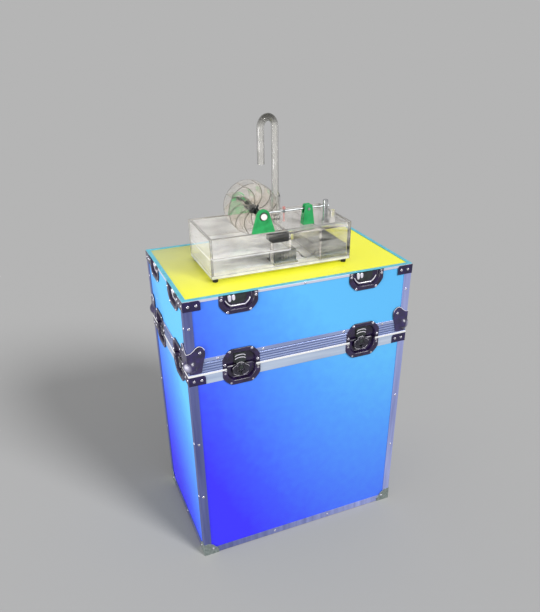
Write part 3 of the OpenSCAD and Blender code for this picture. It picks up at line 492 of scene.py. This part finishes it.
finishes = {
    "blueLaminate": ["base_side_panels", "upper_side_panels"],
    "yellowLaminate": ["top_panel"],
    "plywood": ["base_floor_panel"],
    "edgeAluminium": ["base_edge_profiles", "upper_edge_profiles"],
    "seamAluminium": ["seam_profile"],
    "ribbedAluminium": ["valance"],
    "capSteel": ["foot_corner_caps"],
    "blackFitting": ["seam_brackets", "top_corner_brackets", "ball_corners"],
    "blackDish": ["lower_latch_dishes", "upper_latch_dishes", "top_edge_dishes"],
    "blackHandle": [joint["child"].replace("_handle", "") for joint in latches],
    "latchSteel": ["latch_plates", "latch_keepers", "latch_hooks"],
    "rivet": ["base_rivets", "upper_rivets"],
    "cyanTrim": ["top_trim"],
    "acrylic": ["tank_walls", "basin_partition", "splash_deck", "dry_bulkhead", "vent_pipe", "overflow_pipe"],
    "hazyAcrylic": ["tank_bottom", "basin_floor"],
    "wheelAcrylic": ["wheel_discs"],
    "vaneAcrylic": ["wheel_vanes"],
    "tube": ["gooseneck_spout", "spout_socket"],
    "hose": ["riser_hose"],
    "greenAcrylic": ["wheel_brackets", "lever_bracket"],
    "rubber": ["rubber_feet"],
    "blackPlastic": ["overflow_box", "shaft_bushes", "trip_cam"],
    "pumpPlastic": ["pump"],
    "boxPlastic": ["power_box"],
    "lead": ["pump_lead"],
    "redKnob": ["lift_screw"],
    "darkSteel": ["wheel_shaft", "wheel_hub"],
    "brightSteel": ["lever_pin", "hammer", "anvil"],
    "leverSteel": ["lever_arm"],
    "capNylon": ["shaft_caps"],
}
# edge rounding of each group in millimetres; what isn't named keeps the edges it was built with
softEdges = {
    "edgeAluminium": 0.6, "seamAluminium": 0.5, "ribbedAluminium": 0.4, "capSteel": 0.6, "blackFitting": 0.6,
    "cyanTrim": 0.5, "acrylic": 0.5, "hazyAcrylic": 0.4, "greenAcrylic": 0.7, "blackPlastic": 0.5,
    "pumpPlastic": 0.8, "boxPlastic": 1.5, "latchSteel": 0.25, "blueLaminate": 0.3, "yellowLaminate": 0.3,
}
for finish, names in finishes.items():
    for name in names:
        node = nodes[name]
        node.data.materials.clear()
        node.data.materials.append(look[finish])
        if finish in softEdges:
            weld = node.modifiers.new("weld", "WELD")
            weld.merge_threshold = 0.01 * mm
            bevel = node.modifiers.new("softEdge", "BEVEL")
            bevel.width = softEdges[finish] * mm
            bevel.segments = 2
            bevel.limit_method = "ANGLE"
            bevel.angle_limit = math.radians(35)
            bevel.harden_normals = False
print("finishes set")


# Making pieces

def putInScene(name, data):
    thing = bpy.data.objects.new(name, data)
    bpy.context.scene.collection.objects.link(thing)
    return thing


def placeAt(origin, across, out):
    # maps (across, up, out) in millimetres to the frame
    def place(p):
        return origin + (across * p[0] + Vector((0, 0, p[1])) + out * p[2]) * mm
    return place


def facePlace(out, along, z):
    # a spot on a side of the case, along it from the middle and z up
    reach = caseHalfW if abs(out.x) > 0.5 else caseHalfD
    across = Vector((0, 0, 1)).cross(out)
    origin = out * reach + across * along + Vector((0, 0, z))
    return placeAt(origin, across, out)


def latchPlace(joint, z):
    out = Vector(joint["axis"])
    along = Vector((0, 0, 1)).cross(out).dot(Vector(joint["pos_m"]))
    return facePlace(out, along, z)


def latchPlaces(z):
    # the same spot on every latch, at height z
    return [latchPlace(joint, z) for joint in latches]


def loft(work, rows, place, closed=True, capStart=True, capEnd=True):
    made = [[work.verts.new(place(p)) for p in row] for row in rows]
    count = len(rows[0])
    for low, high in zip(made, made[1:]):
        for i in range(count if closed else count - 1):
            j = (i + 1) % count
            work.faces.new((low[i], low[j], high[j], high[i]))
    if capStart:
        work.faces.new(made[0][::-1])
    if capEnd:
        work.faces.new(made[-1])
    return made


def makePiece(name, fill, finish, body, replaced=(), sharpAngle=40):
    # fill draws into an empty bmesh; the mesh is then shaded, painted and tied to its body
    mesh = bpy.data.meshes.new(name)
    work = bmesh.new()
    fill(work)
    bmesh.ops.recalc_face_normals(work, faces=work.faces)
    work.to_mesh(mesh)
    work.free()
    for polygon in mesh.polygons:
        polygon.use_smooth = True
    mesh.set_sharp_from_angle(angle=math.radians(sharpAngle))
    mesh.materials.append(look[finish])
    piece = putInScene(name, mesh)
    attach(piece, body)
    if replaced:
        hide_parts(*replaced)
    return piece


def circle(radius, count):
    turns = [2 * math.pi * i / count for i in range(count)]
    return [(radius * math.cos(t), radius * math.sin(t)) for t in turns]


def lathe(work, profile, place, count, closedRing=False):
    # profile is a list of (radius, out); a closed ring joins its last row to its first
    rows = [[(px, py, out) for px, py in circle(radius, count)] for radius, out in profile]
    if closedRing:
        rows.append(rows[0])
    made = loft(work, rows, place, capStart=not closedRing, capEnd=not closedRing)
    if closedRing:
        bmesh.ops.remove_doubles(work, verts=made[0] + made[-1], dist=0.001 * mm)


def tube(work, path, radius, place, sides=8):
    # a round bar along a path, its ends closed
    rows = []
    for i, point in enumerate(path):
        run = Vector(path[min(i + 1, len(path) - 1)]) - Vector(path[max(i - 1, 0)])
        spare = Vector((1, 0, 0)) if abs(run.normalized().z) > 0.9 else Vector((0, 0, 1))
        side = run.cross(spare).normalized()
        other = side.cross(run).normalized()
        rows.append([Vector(point) + side * x + other * y for x, y in circle(radius, sides)])
    loft(work, rows, place)


def inMm(point):
    return Vector(point) * mm


def smoothLoop(corners, steps=5):
    # a closed curve through the corners
    count = len(corners)
    points = []
    for i in range(count):
        a, b, c, d = (Vector(corners[(i + k) % count]) for k in (-1, 0, 1, 2))
        for s in range(steps):
            t = s / steps
            points.append(tuple(0.5 * (2 * b + (c - a) * t + (2 * a - 5 * b + 4 * c - d) * t * t
                                       + (3 * b - 3 * c + d - a) * t ** 3)))
    return points


def islands(node):
    # lowest and highest corner of each loose body in a CAD node, in a fixed order
    work = bmesh.new()
    work.from_mesh(nodes[node].data)
    bmesh.ops.remove_doubles(work, verts=work.verts, dist=0.01 * mm)
    left = set(work.verts)
    found = []
    while left:
        group, edge = set(), [left.pop()]
        while edge:
            vert = edge.pop()
            group.add(vert)
            for link in vert.link_edges:
                other = link.other_vert(vert)
                if other in left:
                    left.discard(other)
                    edge.append(other)
        low = Vector(min(v.co[k] for v in group) for k in range(3))
        high = Vector(max(v.co[k] for v in group) for k in range(3))
        found.append((low, high))
    work.free()
    return sorted(found, key=lambda b: tuple(round(c, 5) for c in b[0]))


# Rivets: domed heads with a small flat where the tool closed them

rivetShape = {
    "swell": 1.12, "sides": 14,
    "profile": [(1.0, 0.0), (1.0, 0.3), (0.93, 0.75), (0.76, 1.15), (0.5, 1.4), (0.22, 1.5)],
}


def domedRivets(node):
    def fill(work):
        for low, high in islands(node):
            middle, size = (low + high) / 2, high - low
            axis = min(range(3), key=lambda k: size[k])
            out = Vector((0, 0, 0))
            out[axis] = 1 if middle[axis] > 0 else -1
            foot = middle - out * size[axis] / 2
            across = Vector((0, 0, 1)).cross(out)
            radius = size.z / 2 / mm * rivetShape["swell"]
            lathe(work, [(r * radius, h) for r, h in rivetShape["profile"]], placeAt(foot, across, out),
                  rivetShape["sides"])
    return fill


makePiece("lowerRivets", domedRivets("base_rivets"), "rivet", "root", ["base_rivets"], 60)
makePiece("upperRivets", domedRivets("upper_rivets"), "rivet", "upper_case", ["upper_rivets"], 60)
print("rivets made")


# Latch dishes: pressed steel pans with a rolled flange and sloping walls

dishShape = {
    "halfW": 56, "height": 57, "cornerAcross": 28, "cornerUp": 30, "roundness": 1.4, "flange": 13,
    "cornerSteps": 9, "gauge": 1.1, "seamPanDepth": 12.8, "topPanDepth": 9.8, "beadClear": 6.3,
}


def dishRow(inset, out, top, flip):
    d = dishShape
    halfW, height = d["halfW"] - inset, d["height"] - inset
    rx, ry = d["cornerAcross"] - 0.55 * inset, d["cornerUp"] - 0.55 * inset
    power = 2 / d["roundness"]
    half = [(-halfW, -top), (-halfW, -(top + height - ry) / 2)]
    for i in range(d["cornerSteps"] + 1):
        t = math.pi / 2 * i / d["cornerSteps"]
        half.append((-(halfW - rx) - rx * max(math.cos(t), 0) ** power,
                     -(height - ry) - ry * math.sin(t) ** power))
    half.append((-(halfW - rx) / 2, -height))
    path = half + [(0, -height)] + [(-x, y) for x, y in half[::-1]]
    return [(x, y * flip, out) for x, y in path]


def pressedDishes(z, depth, flangeTop, flip=1):
    d = dishShape
    flange = d["flange"]
    rim = [(0, -1.9), (0, 0.5), (0.4, 1.25), (1.2, 1.6), (flange - 2.4, 1.6), (flange - 1.2, 1.35)]
    pan = [(flange - 0.4, 0.5), (flange, -0.8), (flange + 0.9, 0.5 - depth * 0.5),
           (flange + 2.0, 2.2 - depth), (flange + 3.0, 0.7 - depth), (flange + 4.8, -depth)]

    def fill(work):
        for place in latchPlaces(z):
            rows = [dishRow(inset, out, flangeTop, flip) for inset, out in rim]
            rows += [dishRow(inset, out, 0, flip) for inset, out in pan]
            loft(work, rows, place, closed=False, capStart=False, capEnd=True)
    return fill


def thicken(piece):
    shell = piece.modifiers.new("sheetGauge", "SOLIDIFY")
    shell.thickness = dishShape["gauge"] * mm
    shell.offset = -1
    return piece


thicken(makePiece("lowerPans", pressedDishes(seamZ, dishShape["seamPanDepth"], dishShape["beadClear"]),
                  "blackDish", "root", ["lower_latch_dishes"]))
thicken(makePiece("upperPans", pressedDishes(seamZ, dishShape["seamPanDepth"], 0.3, -1),
                  "blackDish", "upper_case", ["upper_latch_dishes"]))
thicken(makePiece("topEdgePans", pressedDishes(topZ, dishShape["topPanDepth"], 0),
                  "blackDish", "upper_case", ["top_edge_dishes"]))
print("latch dishes made")


# Butterfly handles: a ringed boss between two scooped wings on hinge barrels

handleShape = {
    "wing": [(10, 8.5), (17, 7), (24, 2.5), (26, -6), (24, -16), (16, -24), (8, -26), (3, -23.5), (2.4, -17),
             (9, -11)],
    "wingProfile": [(1.0, -7.4), (1.0, -5.4), (0.97, -4.5), (0.9, -4.1), (0.78, -4.5), (0.55, -5.3),
                    (0.25, -5.6)],
    "boss": [(4.05, -9.0), (12.0, -9.0), (12.4, -8.4), (12.4, -3.6), (11.8, -2.8), (10.8, -2.4), (8.6, -2.4),
             (7.7, -3.0), (7.3, -4.5), (4.05, -4.5)],
    "barrelR": 2.3, "barrelX": 12.8, "barrelLow": -12, "barrelHigh": 5, "barrelOut": -4.6,
}


def wingRow(side, scale, out):
    # the wing's outline, drawn in towards its middle
    outline = smoothLoop(handleShape["wing"], 4)
    midX, midY = (sum(values) / len(outline) for values in zip(*outline))
    return [(side * (midX + (x - midX) * scale), midY + (y - midY) * scale, out) for x, y in outline]


def butterfly(joint):
    shape = handleShape
    place = latchPlace(joint, joint["pos_m"][2])

    def fill(work):
        for side in (-1, 1):
            loft(work, [wingRow(side, s, h) for s, h in shape["wingProfile"]], place)
            low, high, r = shape["barrelLow"], shape["barrelHigh"], shape["barrelR"]
            barrel = [[(side * shape["barrelX"] + r * s * c, y, shape["barrelOut"] + r * s * d)
                       for c, d in circle(1, 12)]
                      for y, s in ((low, 0.75), (low + 0.6, 1), (high - 0.6, 1), (high, 0.75))]
            loft(work, barrel, place)
        lathe(work, shape["boss"], place, 28, closedRing=True)
    return fill


wingLines = {
    "scale": 0.93, "out": -3.95, "radius": 0.4, "worn": [(1, 11), (17, 27)],
    "ring": 13.8, "ringOut": -8.4, "ringR": 0.8,
}


def handleLines(joint):
    # painted highlights: bright lines along the wing edges, and a bright washer ring round the boss
    shape = wingLines
    place = latchPlace(joint, joint["pos_m"][2])

    def fill(work):
        for side in (-1, 1):
            path = wingRow(side, shape["scale"], shape["out"])
            for first, last in shape["worn"]:
                tube(work, path[first:last], shape["radius"], place, 6)
        ring = [(x, y, shape["ringOut"]) for x, y in circle(shape["ring"], 36)[:-1]]
        tube(work, ring, shape["ringR"], place, 6)
    return fill


for joint in latches:
    node = joint["child"].replace("_handle", "")
    makePiece(node.replace("latch_", "brightLines_"), handleLines(joint), "arcSteel", joint["child"])
    makePiece(node.replace("latch_", "butterfly_"), butterfly(joint), "blackHandle", joint["child"],
              [node])
print("butterfly handles made")


# Bright lines in the dishes: two arched ribs on each keeper, and a sprung strap in each top-edge dish

ribShape = {"halfW": 15, "heights": (17, 26), "arch": 5, "out": -8.6, "radius": 1.15, "steps": 12}
strapShape = {"inset": 20, "out": -7.2, "radius": 1.7, "from": 3,
              "lugs": [(-24, -15.5, 4.6, 8), (-12.5, -14.5, 4.2, 6.5)]}


def keeperRibs(work):
    shape = ribShape
    for place in latchPlaces(seamZ):
        for height in shape["heights"]:
            turns = [math.pi * i / shape["steps"] for i in range(shape["steps"] + 1)]
            path = [(-shape["halfW"] * math.cos(t), height + shape["arch"] * math.sin(t), shape["out"])
                    for t in turns]
            tube(work, path, shape["radius"], place)


def topStraps(work):
    shape = strapShape
    for place in latchPlaces(topZ):
        outline = dishRow(shape["inset"], shape["out"], 0, 1)[shape["from"]:-shape["from"]]
        tube(work, outline, shape["radius"], place, 10)
        for x, y, w, h in shape["lugs"]:
            lug = smoothLoop([(x - w, y + h), (x + w, y + h), (x + w, y - h * 0.9), (x - w * 0.4, y - h)], 5)
            rows = [[(x + (px - x) * s, y + (py - y) * s, shape["out"] + d) for px, py in lug]
                    for s, d in ((1, -1.4), (1, 0.6), (0.9, 1.2), (0.7, 1.4))]
            loft(work, rows, place)


makePiece("keeperRibs", keeperRibs, "arcSteel", "upper_case")
makePiece("topEdgeStraps", topStraps, "arcSteel", "upper_case")
print("bright latch lines made")


# Ball corners: a leaf-shaped plate folded round the edge and drawn out into a ball

ballShape = {
    "leaf": [(0, 69), (9, 71), (17, 76.5), (25, 84), (34, 87.5), (43, 83.5), (49.5, 74), (51, 62), (48, 47),
             (43, 28), (39.5, 12), (36.5, 3.2), (16, 3)],
    "plateOut": 2.5, "foldHalf": 5, "ballR": 21, "ballIn": 10, "ballUp": 26, "blend": 1.6, "middleUp": 30,
    "rings": [1.0, 0.97, 0.9, 0.82, 0.73, 0.64, 0.55, 0.46, 0.37, 0.28, 0.19, 0.1],
    "rimFrom": 6, "rimR": 0.9,
}


def foldTurn(u):
    half = ballShape["foldHalf"]
    return math.pi / 2 * min(max((u + half) / (2 * half), 0), 1)


def cornerPlace(signX, signY):
    # u runs along the wide face when positive and along the narrow face when negative
    edge = Vector((signX * caseHalfW, signY * caseHalfD, seamZ))

    def place(p):
        u, v, out = p
        foot = Vector((-signX * max(u, 0), -signY * max(-u, 0), v))
        lift = Vector((signX * math.cos(foldTurn(u)), signY * math.sin(foldTurn(u)), 0))
        return edge + (foot + lift * out) * mm
    return place


def cornerPlaces():
    return [cornerPlace(signX, signY) for signX in (-1, 1) for signY in (-1, 1)]


def ballOut(u, v):
    # how far the plate or the ball stands out over the point (u, v), softly joined
    shape = ballShape
    foot = Vector((max(u, 0) - shape["ballIn"], max(-u, 0) - shape["ballIn"]))
    lift = Vector((-math.cos(foldTurn(u)), -math.sin(foldTurn(u))))
    ahead = foot.dot(lift)
    room = ahead ** 2 - (foot.length_squared + (v - shape["ballUp"]) ** 2 - shape["ballR"] ** 2)
    ball = -ahead + math.sqrt(room) if room > 0 else shape["plateOut"] - 4
    gap = max(shape["blend"] - abs(ball - shape["plateOut"]), 0) / shape["blend"]
    return max(ball, shape["plateOut"]) + gap ** 2 * shape["blend"] / 4


def leafOutline():
    leaf = ballShape["leaf"]
    return smoothLoop(leaf + [(-x, y) for x, y in leaf[:0:-1]], 3)


def ballCorners(work):
    shape = ballShape
    outline, up = leafOutline(), shape["middleUp"]

    def ring(s):
        return [(x * s, up + (y - up) * s) for x, y in outline]

    back = [[(u, v, 0.15) for u, v in ring(s)] for s in shape["rings"][::-1]]
    rim = [[(u, v, h) for u, v in ring(s)] for s, h in ((1.0, 1.7), (0.99, 2.3))]
    front = [[(u, v, ballOut(u, v)) for u, v in ring(s)] for s in shape["rings"][1:]]
    for place in cornerPlaces():
        loft(work, back + rim + front, place)


def ballRims(work):
    # the rolled upper edge of each plate, drawn as a bright line that is a painted highlight
    shape = ballShape
    outline = leafOutline()
    last = 3 * shape["rimFrom"]
    path = [(x, y - 0.6, shape["plateOut"]) for x, y in outline[-last:] + outline[:last + 1]]
    for place in cornerPlaces():
        tube(work, path, shape["rimR"], place, 6)


makePiece("ballCorners", ballCorners, "ballLacquer", "upper_case", ["ball_corners"], 50)
makePiece("ballRims", ballRims, "arcSteel", "upper_case")
print("ball corners made")


# Gooseneck: one clear tube, flared where it sits on its socket

gooseShape = {
    "turn": 200, "reach": 53, "outer": 10, "bore": 7, "leg": 95, "shank": 52.5, "steps": 22, "sides": 32,
    "flare": [(0.15, 13.4), (0.8, 14), (2.2, 14), (5, 12.9), (9, 11.6), (14, 10.7), (20, 10.1)],
}


def gooseneck(work):
    shape = gooseShape
    joint = next(j for j in frame["joints"] if j["name"] == "spout_swivel")
    seat = Vector((joint["pos_m"][0], joint["pos_m"][1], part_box("spout_socket")[1].z))
    turn = math.radians(shape["turn"])
    ahead = Vector((math.cos(turn), math.sin(turn), 0))
    across = Vector((-math.sin(turn), math.cos(turn), 0))
    bend = shape["reach"] / 2
    rise = (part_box("gooseneck_spout")[1].z - seat.z) / mm - shape["outer"] - bend
    # each station is (along, up, tilt of the cut, outer radius)
    stations = [(0, -shape["shank"], 0, shape["outer"] - 0.1), (0, 0, 0, shape["outer"] - 0.1)]
    stations += [(0, up, 0, r) for up, r in shape["flare"]]
    stations += [(0, up, 0, shape["outer"]) for up in (60, 110, rise)]
    for i in range(1, shape["steps"] + 1):
        t = math.pi * i / shape["steps"]
        stations.append((bend - bend * math.cos(t), rise + bend * math.sin(t), t, shape["outer"]))
    stations += [(shape["reach"], rise - shape["leg"] + 0.6, math.pi, shape["outer"]),
                 (shape["reach"], rise - shape["leg"], math.pi, shape["outer"] - 0.5)]

    def row(station, radius):
        along, up, tilt, _ = station
        return [seat + (ahead * (along + x * math.cos(tilt)) + Vector((0, 0, up - x * math.sin(tilt)))
                        + across * y) * mm for x, y in circle(radius, shape["sides"])]

    rows = [row(st, st[3]) for st in stations] + [row(st, shape["bore"]) for st in stations[::-1]]
    made = loft(work, rows + rows[:1], lambda p: p, capStart=False, capEnd=False)
    bmesh.ops.remove_doubles(work, verts=made[0] + made[-1], dist=0.001 * mm)


makePiece("clearGooseneck", gooseneck, "tube", "spout", ["gooseneck_spout"], 50)
print("gooseneck made")


# Water wheel: thin curved vanes cemented between the discs, with dark lines on the disc faces along the vanes
# and round the rims, partly cement and partly painted shade

wheelShape = {
    "vanes": 10, "bendR": 40, "bendX": 42, "from": 20, "to": 117, "steps": 14, "thick": 1.8, "disc": 3,
    "sleeveBore": 5.2, "sleeve": [(12.6, 0), (13.2, 0.6), (13.2, 2.4), (12.4, 3), (7.6, 3.6), (7, 4.6)],
    "lineR": 0.85, "rimR": 0.6, "backR": 0.3,
}


def wheelParts():
    low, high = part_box("wheel_discs")
    middle = (low + high) / 2
    return middle, (high.y - low.y) / 2 / mm, (high.z - low.z) / 2 / mm


def aboutWheel(middle):
    def place(p):
        return middle + inMm(p)
    return place


def vanePath(turn, bend=0):
    shape = wheelShape
    path = []
    for i in range(shape["steps"] + 1):
        t = math.radians(shape["from"] + (shape["to"] - shape["from"]) * i / shape["steps"])
        r = shape["bendR"] + bend
        x, z = shape["bendX"] - r * math.cos(t), -r * math.sin(t)
        path.append((x * math.cos(turn) - z * math.sin(turn), x * math.sin(turn) + z * math.cos(turn)))
    return path


def wheelVanes(work):
    shape = wheelShape
    middle, halfW, _ = wheelParts()
    inside = halfW - shape["disc"]
    for i in range(shape["vanes"]):
        turn = 2 * math.pi * i / shape["vanes"]
        outer = vanePath(turn, shape["thick"] / 2)
        inner = vanePath(turn, -shape["thick"] / 2)
        rows = [[(x, y, z) for x, z in outer + inner[::-1]]
                for y in (-inside, -inside / 2, 0, inside / 2, inside)]
        loft(work, rows, aboutWheel(middle))


def wheelLines(work):
    shape = wheelShape
    middle, halfW, radius = wheelParts()
    place = aboutWheel(middle)
    # the back disc's lines are thinner than the front disc's
    for y, lineR, rimR in ((-halfW, shape["lineR"], shape["rimR"]), (halfW, shape["backR"], shape["backR"])):
        for i in range(shape["vanes"]):
            path = [(x, y, z) for x, z in vanePath(2 * math.pi * i / shape["vanes"])]
            tube(work, path, lineR, place, 6)
        rim = [(x, y * 0.985, z) for x, z in circle(radius - rimR / 2, 72)]
        tube(work, rim + rim[:1], rimR, place, 6)


def wheelSleeve(work):
    # a turned sleeve clamps the discs to the shaft: two flanges and a slim waist
    shape = wheelShape
    middle, halfW, _ = wheelParts()
    end = halfW - shape["disc"] - 0.1
    half = [(shape["sleeveBore"], -end)] + [(r, back - end) for r, back in shape["sleeve"]]
    profile = half + [(r, -y) for r, y in half[::-1]]
    lathe(work, profile, lambda p: middle + inMm((p[0], p[2], p[1])), 28, closedRing=True)


makePiece("wheelSleeve", wheelSleeve, "darkSteel", "water_wheel", ["wheel_hub"], 35)
makePiece("wheelVanes", wheelVanes, "vaneAcrylic", "water_wheel", ["wheel_vanes"], 50)
makePiece("wheelCementLines", wheelLines, "seamCement", "water_wheel")
print("wheel made")


# Tank: thin grey lines where its sheets meet and along their sawn edges, partly solvent cement and partly
# painted shade

seamShape = {"wall": 8, "radius": 0.65, "inset": 0.35}


def tankSeams(work):
    shape = seamShape
    low, high = (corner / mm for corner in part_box("tank_walls"))
    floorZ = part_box("basin_floor")[1].z / mm
    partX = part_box("basin_partition")[0].x / mm
    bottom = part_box("tank_bottom")[0].z / mm + shape["inset"]

    def rectangle(x0, y0, x1, y1, z):
        for start, end in (((x0, y0), (x1, y0)), ((x0, y1), (x1, y1)),
                           ((x0, y0), (x0, y1)), ((x1, y0), (x1, y1))):
            tube(work, [(*start, z), (*end, z)], shape["radius"], inMm, 6)

    outside, inside = ((low.x + by, low.y + by, high.x - by, high.y - by)
                       for by in (shape["inset"], shape["wall"]))
    rectangle(*outside, high.z - shape["inset"])
    rectangle(*outside, bottom)
    rectangle(*inside, high.z - shape["inset"])
    rectangle(inside[0], inside[1], partX, inside[3], floorZ)
    for corners, foot, slim in ((outside, bottom, 1), (inside, low.z + 1, 0.7)):
        for x in corners[::2]:
            for y in corners[1::2]:
                tube(work, [(x, y, foot), (x, y, high.z)], shape["radius"] * slim, inMm, 6)


makePiece("tankCementLines", tankSeams, "seamCement", "sink_unit")
print("tank lines made")


# Floor, light and camera

studio = {
    "floorHex": "#b5b5b5", "floorSize": 40.0, "worldLevel": 0.57,
    "keyFrom": (0.377, -0.729, 0.574), "keyStrength": 2.35, "keyAngle": 17,
    "fillFrom": (-1.9, -0.5, 0.75), "fillAt": (0, 0, 0.5), "fillPower": 35, "fillSize": (1.2, 1.4),
}


def makeFloor():
    half = studio["floorSize"] / 2
    mesh = bpy.data.meshes.new("studioFloor")
    mesh.from_pydata([(-half, -half, 0), (half, -half, 0), (half, half, 0), (-half, half, 0)], [],
                     [(0, 1, 2, 3)])
    floor = putInScene("studioFloor", mesh)
    material, shader = startMaterial("paperFloor", Roughness=0.9, IOR=1.3, Specular_IOR_Level=0.0)
    shader.inputs["Base Color"].default_value = linear(studio["floorHex"])
    mesh.materials.append(material)
    return floor


def makeLight():
    world = bpy.data.worlds.new("studioWorld")
    bpy.context.scene.world = world
    world.use_nodes = True
    background = world.node_tree.nodes["Background"]
    background.inputs["Color"].default_value = (1, 1, 1, 1)
    background.inputs["Strength"].default_value = studio["worldLevel"]
    # the camera, mirrors and clear parts see the floor's own grey behind the object
    backdrop = addNode(world, "Background", {"Color": linear(studio["floorHex"])})
    ray = addNode(world, "LightPath")
    seen = ray.outputs["Is Camera Ray"]
    for other in ("Is Glossy Ray", "Is Transmission Ray"):
        seen = addNode(world, "Math", {"operation": "MAXIMUM"}, {0: seen, 1: ray.outputs[other]}).outputs[0]
    chosen = addNode(world, "MixShader", {}, {0: seen, 1: background.outputs[0], 2: backdrop.outputs[0]})
    plug(world, chosen.outputs[0], world.node_tree.nodes["World Output"], "Surface")
    key = putInScene("keyLight", bpy.data.lights.new("keyLight", "SUN"))
    key.data.energy = studio["keyStrength"]
    key.data.angle = math.radians(studio["keyAngle"])
    key.rotation_euler = Vector(studio["keyFrom"]).to_track_quat("Z", "Y").to_euler()
    fill = putInScene("fillLight", bpy.data.lights.new("fillLight", "AREA"))
    fill.data.shape = "RECTANGLE"
    fill.data.size, fill.data.size_y = studio["fillSize"]
    fill.data.energy = studio["fillPower"]
    fill.location = studio["fillFrom"]
    # it lights the object but is never seen through the clear parts
    fill.visible_camera = False
    fill.visible_transmission = False
    aim = Vector(studio["fillAt"]) - fill.location
    fill.rotation_euler = aim.to_track_quat("-Z", "Y").to_euler()
    return fill


cameraView = {"place": (-0.674, -1.637, 1.575), "turn": -23.53, "tilt": 29.61, "lens": 35.95,
              "shiftX": -0.028, "shiftY": 0.082}


def makeCamera():
    camera = putInScene("camera", bpy.data.cameras.new("camera"))
    camera.data.sensor_fit = "VERTICAL"
    camera.data.sensor_height = 36
    camera.data.lens = cameraView["lens"]
    camera.data.shift_x = cameraView["shiftX"]
    camera.data.shift_y = cameraView["shiftY"]
    camera.data.clip_start = 0.05
    camera.location = cameraView["place"]
    camera.rotation_euler = (math.radians(90 - cameraView["tilt"]), 0, math.radians(cameraView["turn"]))
    bpy.context.scene.camera = camera


floor = makeFloor()
fill = makeLight()
makeCamera()
bpy.context.scene.view_settings.view_transform = "Standard"
print("studio set")

# the fill lights the object alone, so the floor stays even
lit = bpy.data.collections.new("litByFill")
for thing in bpy.context.scene.objects:
    if thing.type == "MESH" and thing != floor:
        lit.objects.link(thing)
fill.light_linking.receiver_collection = lit
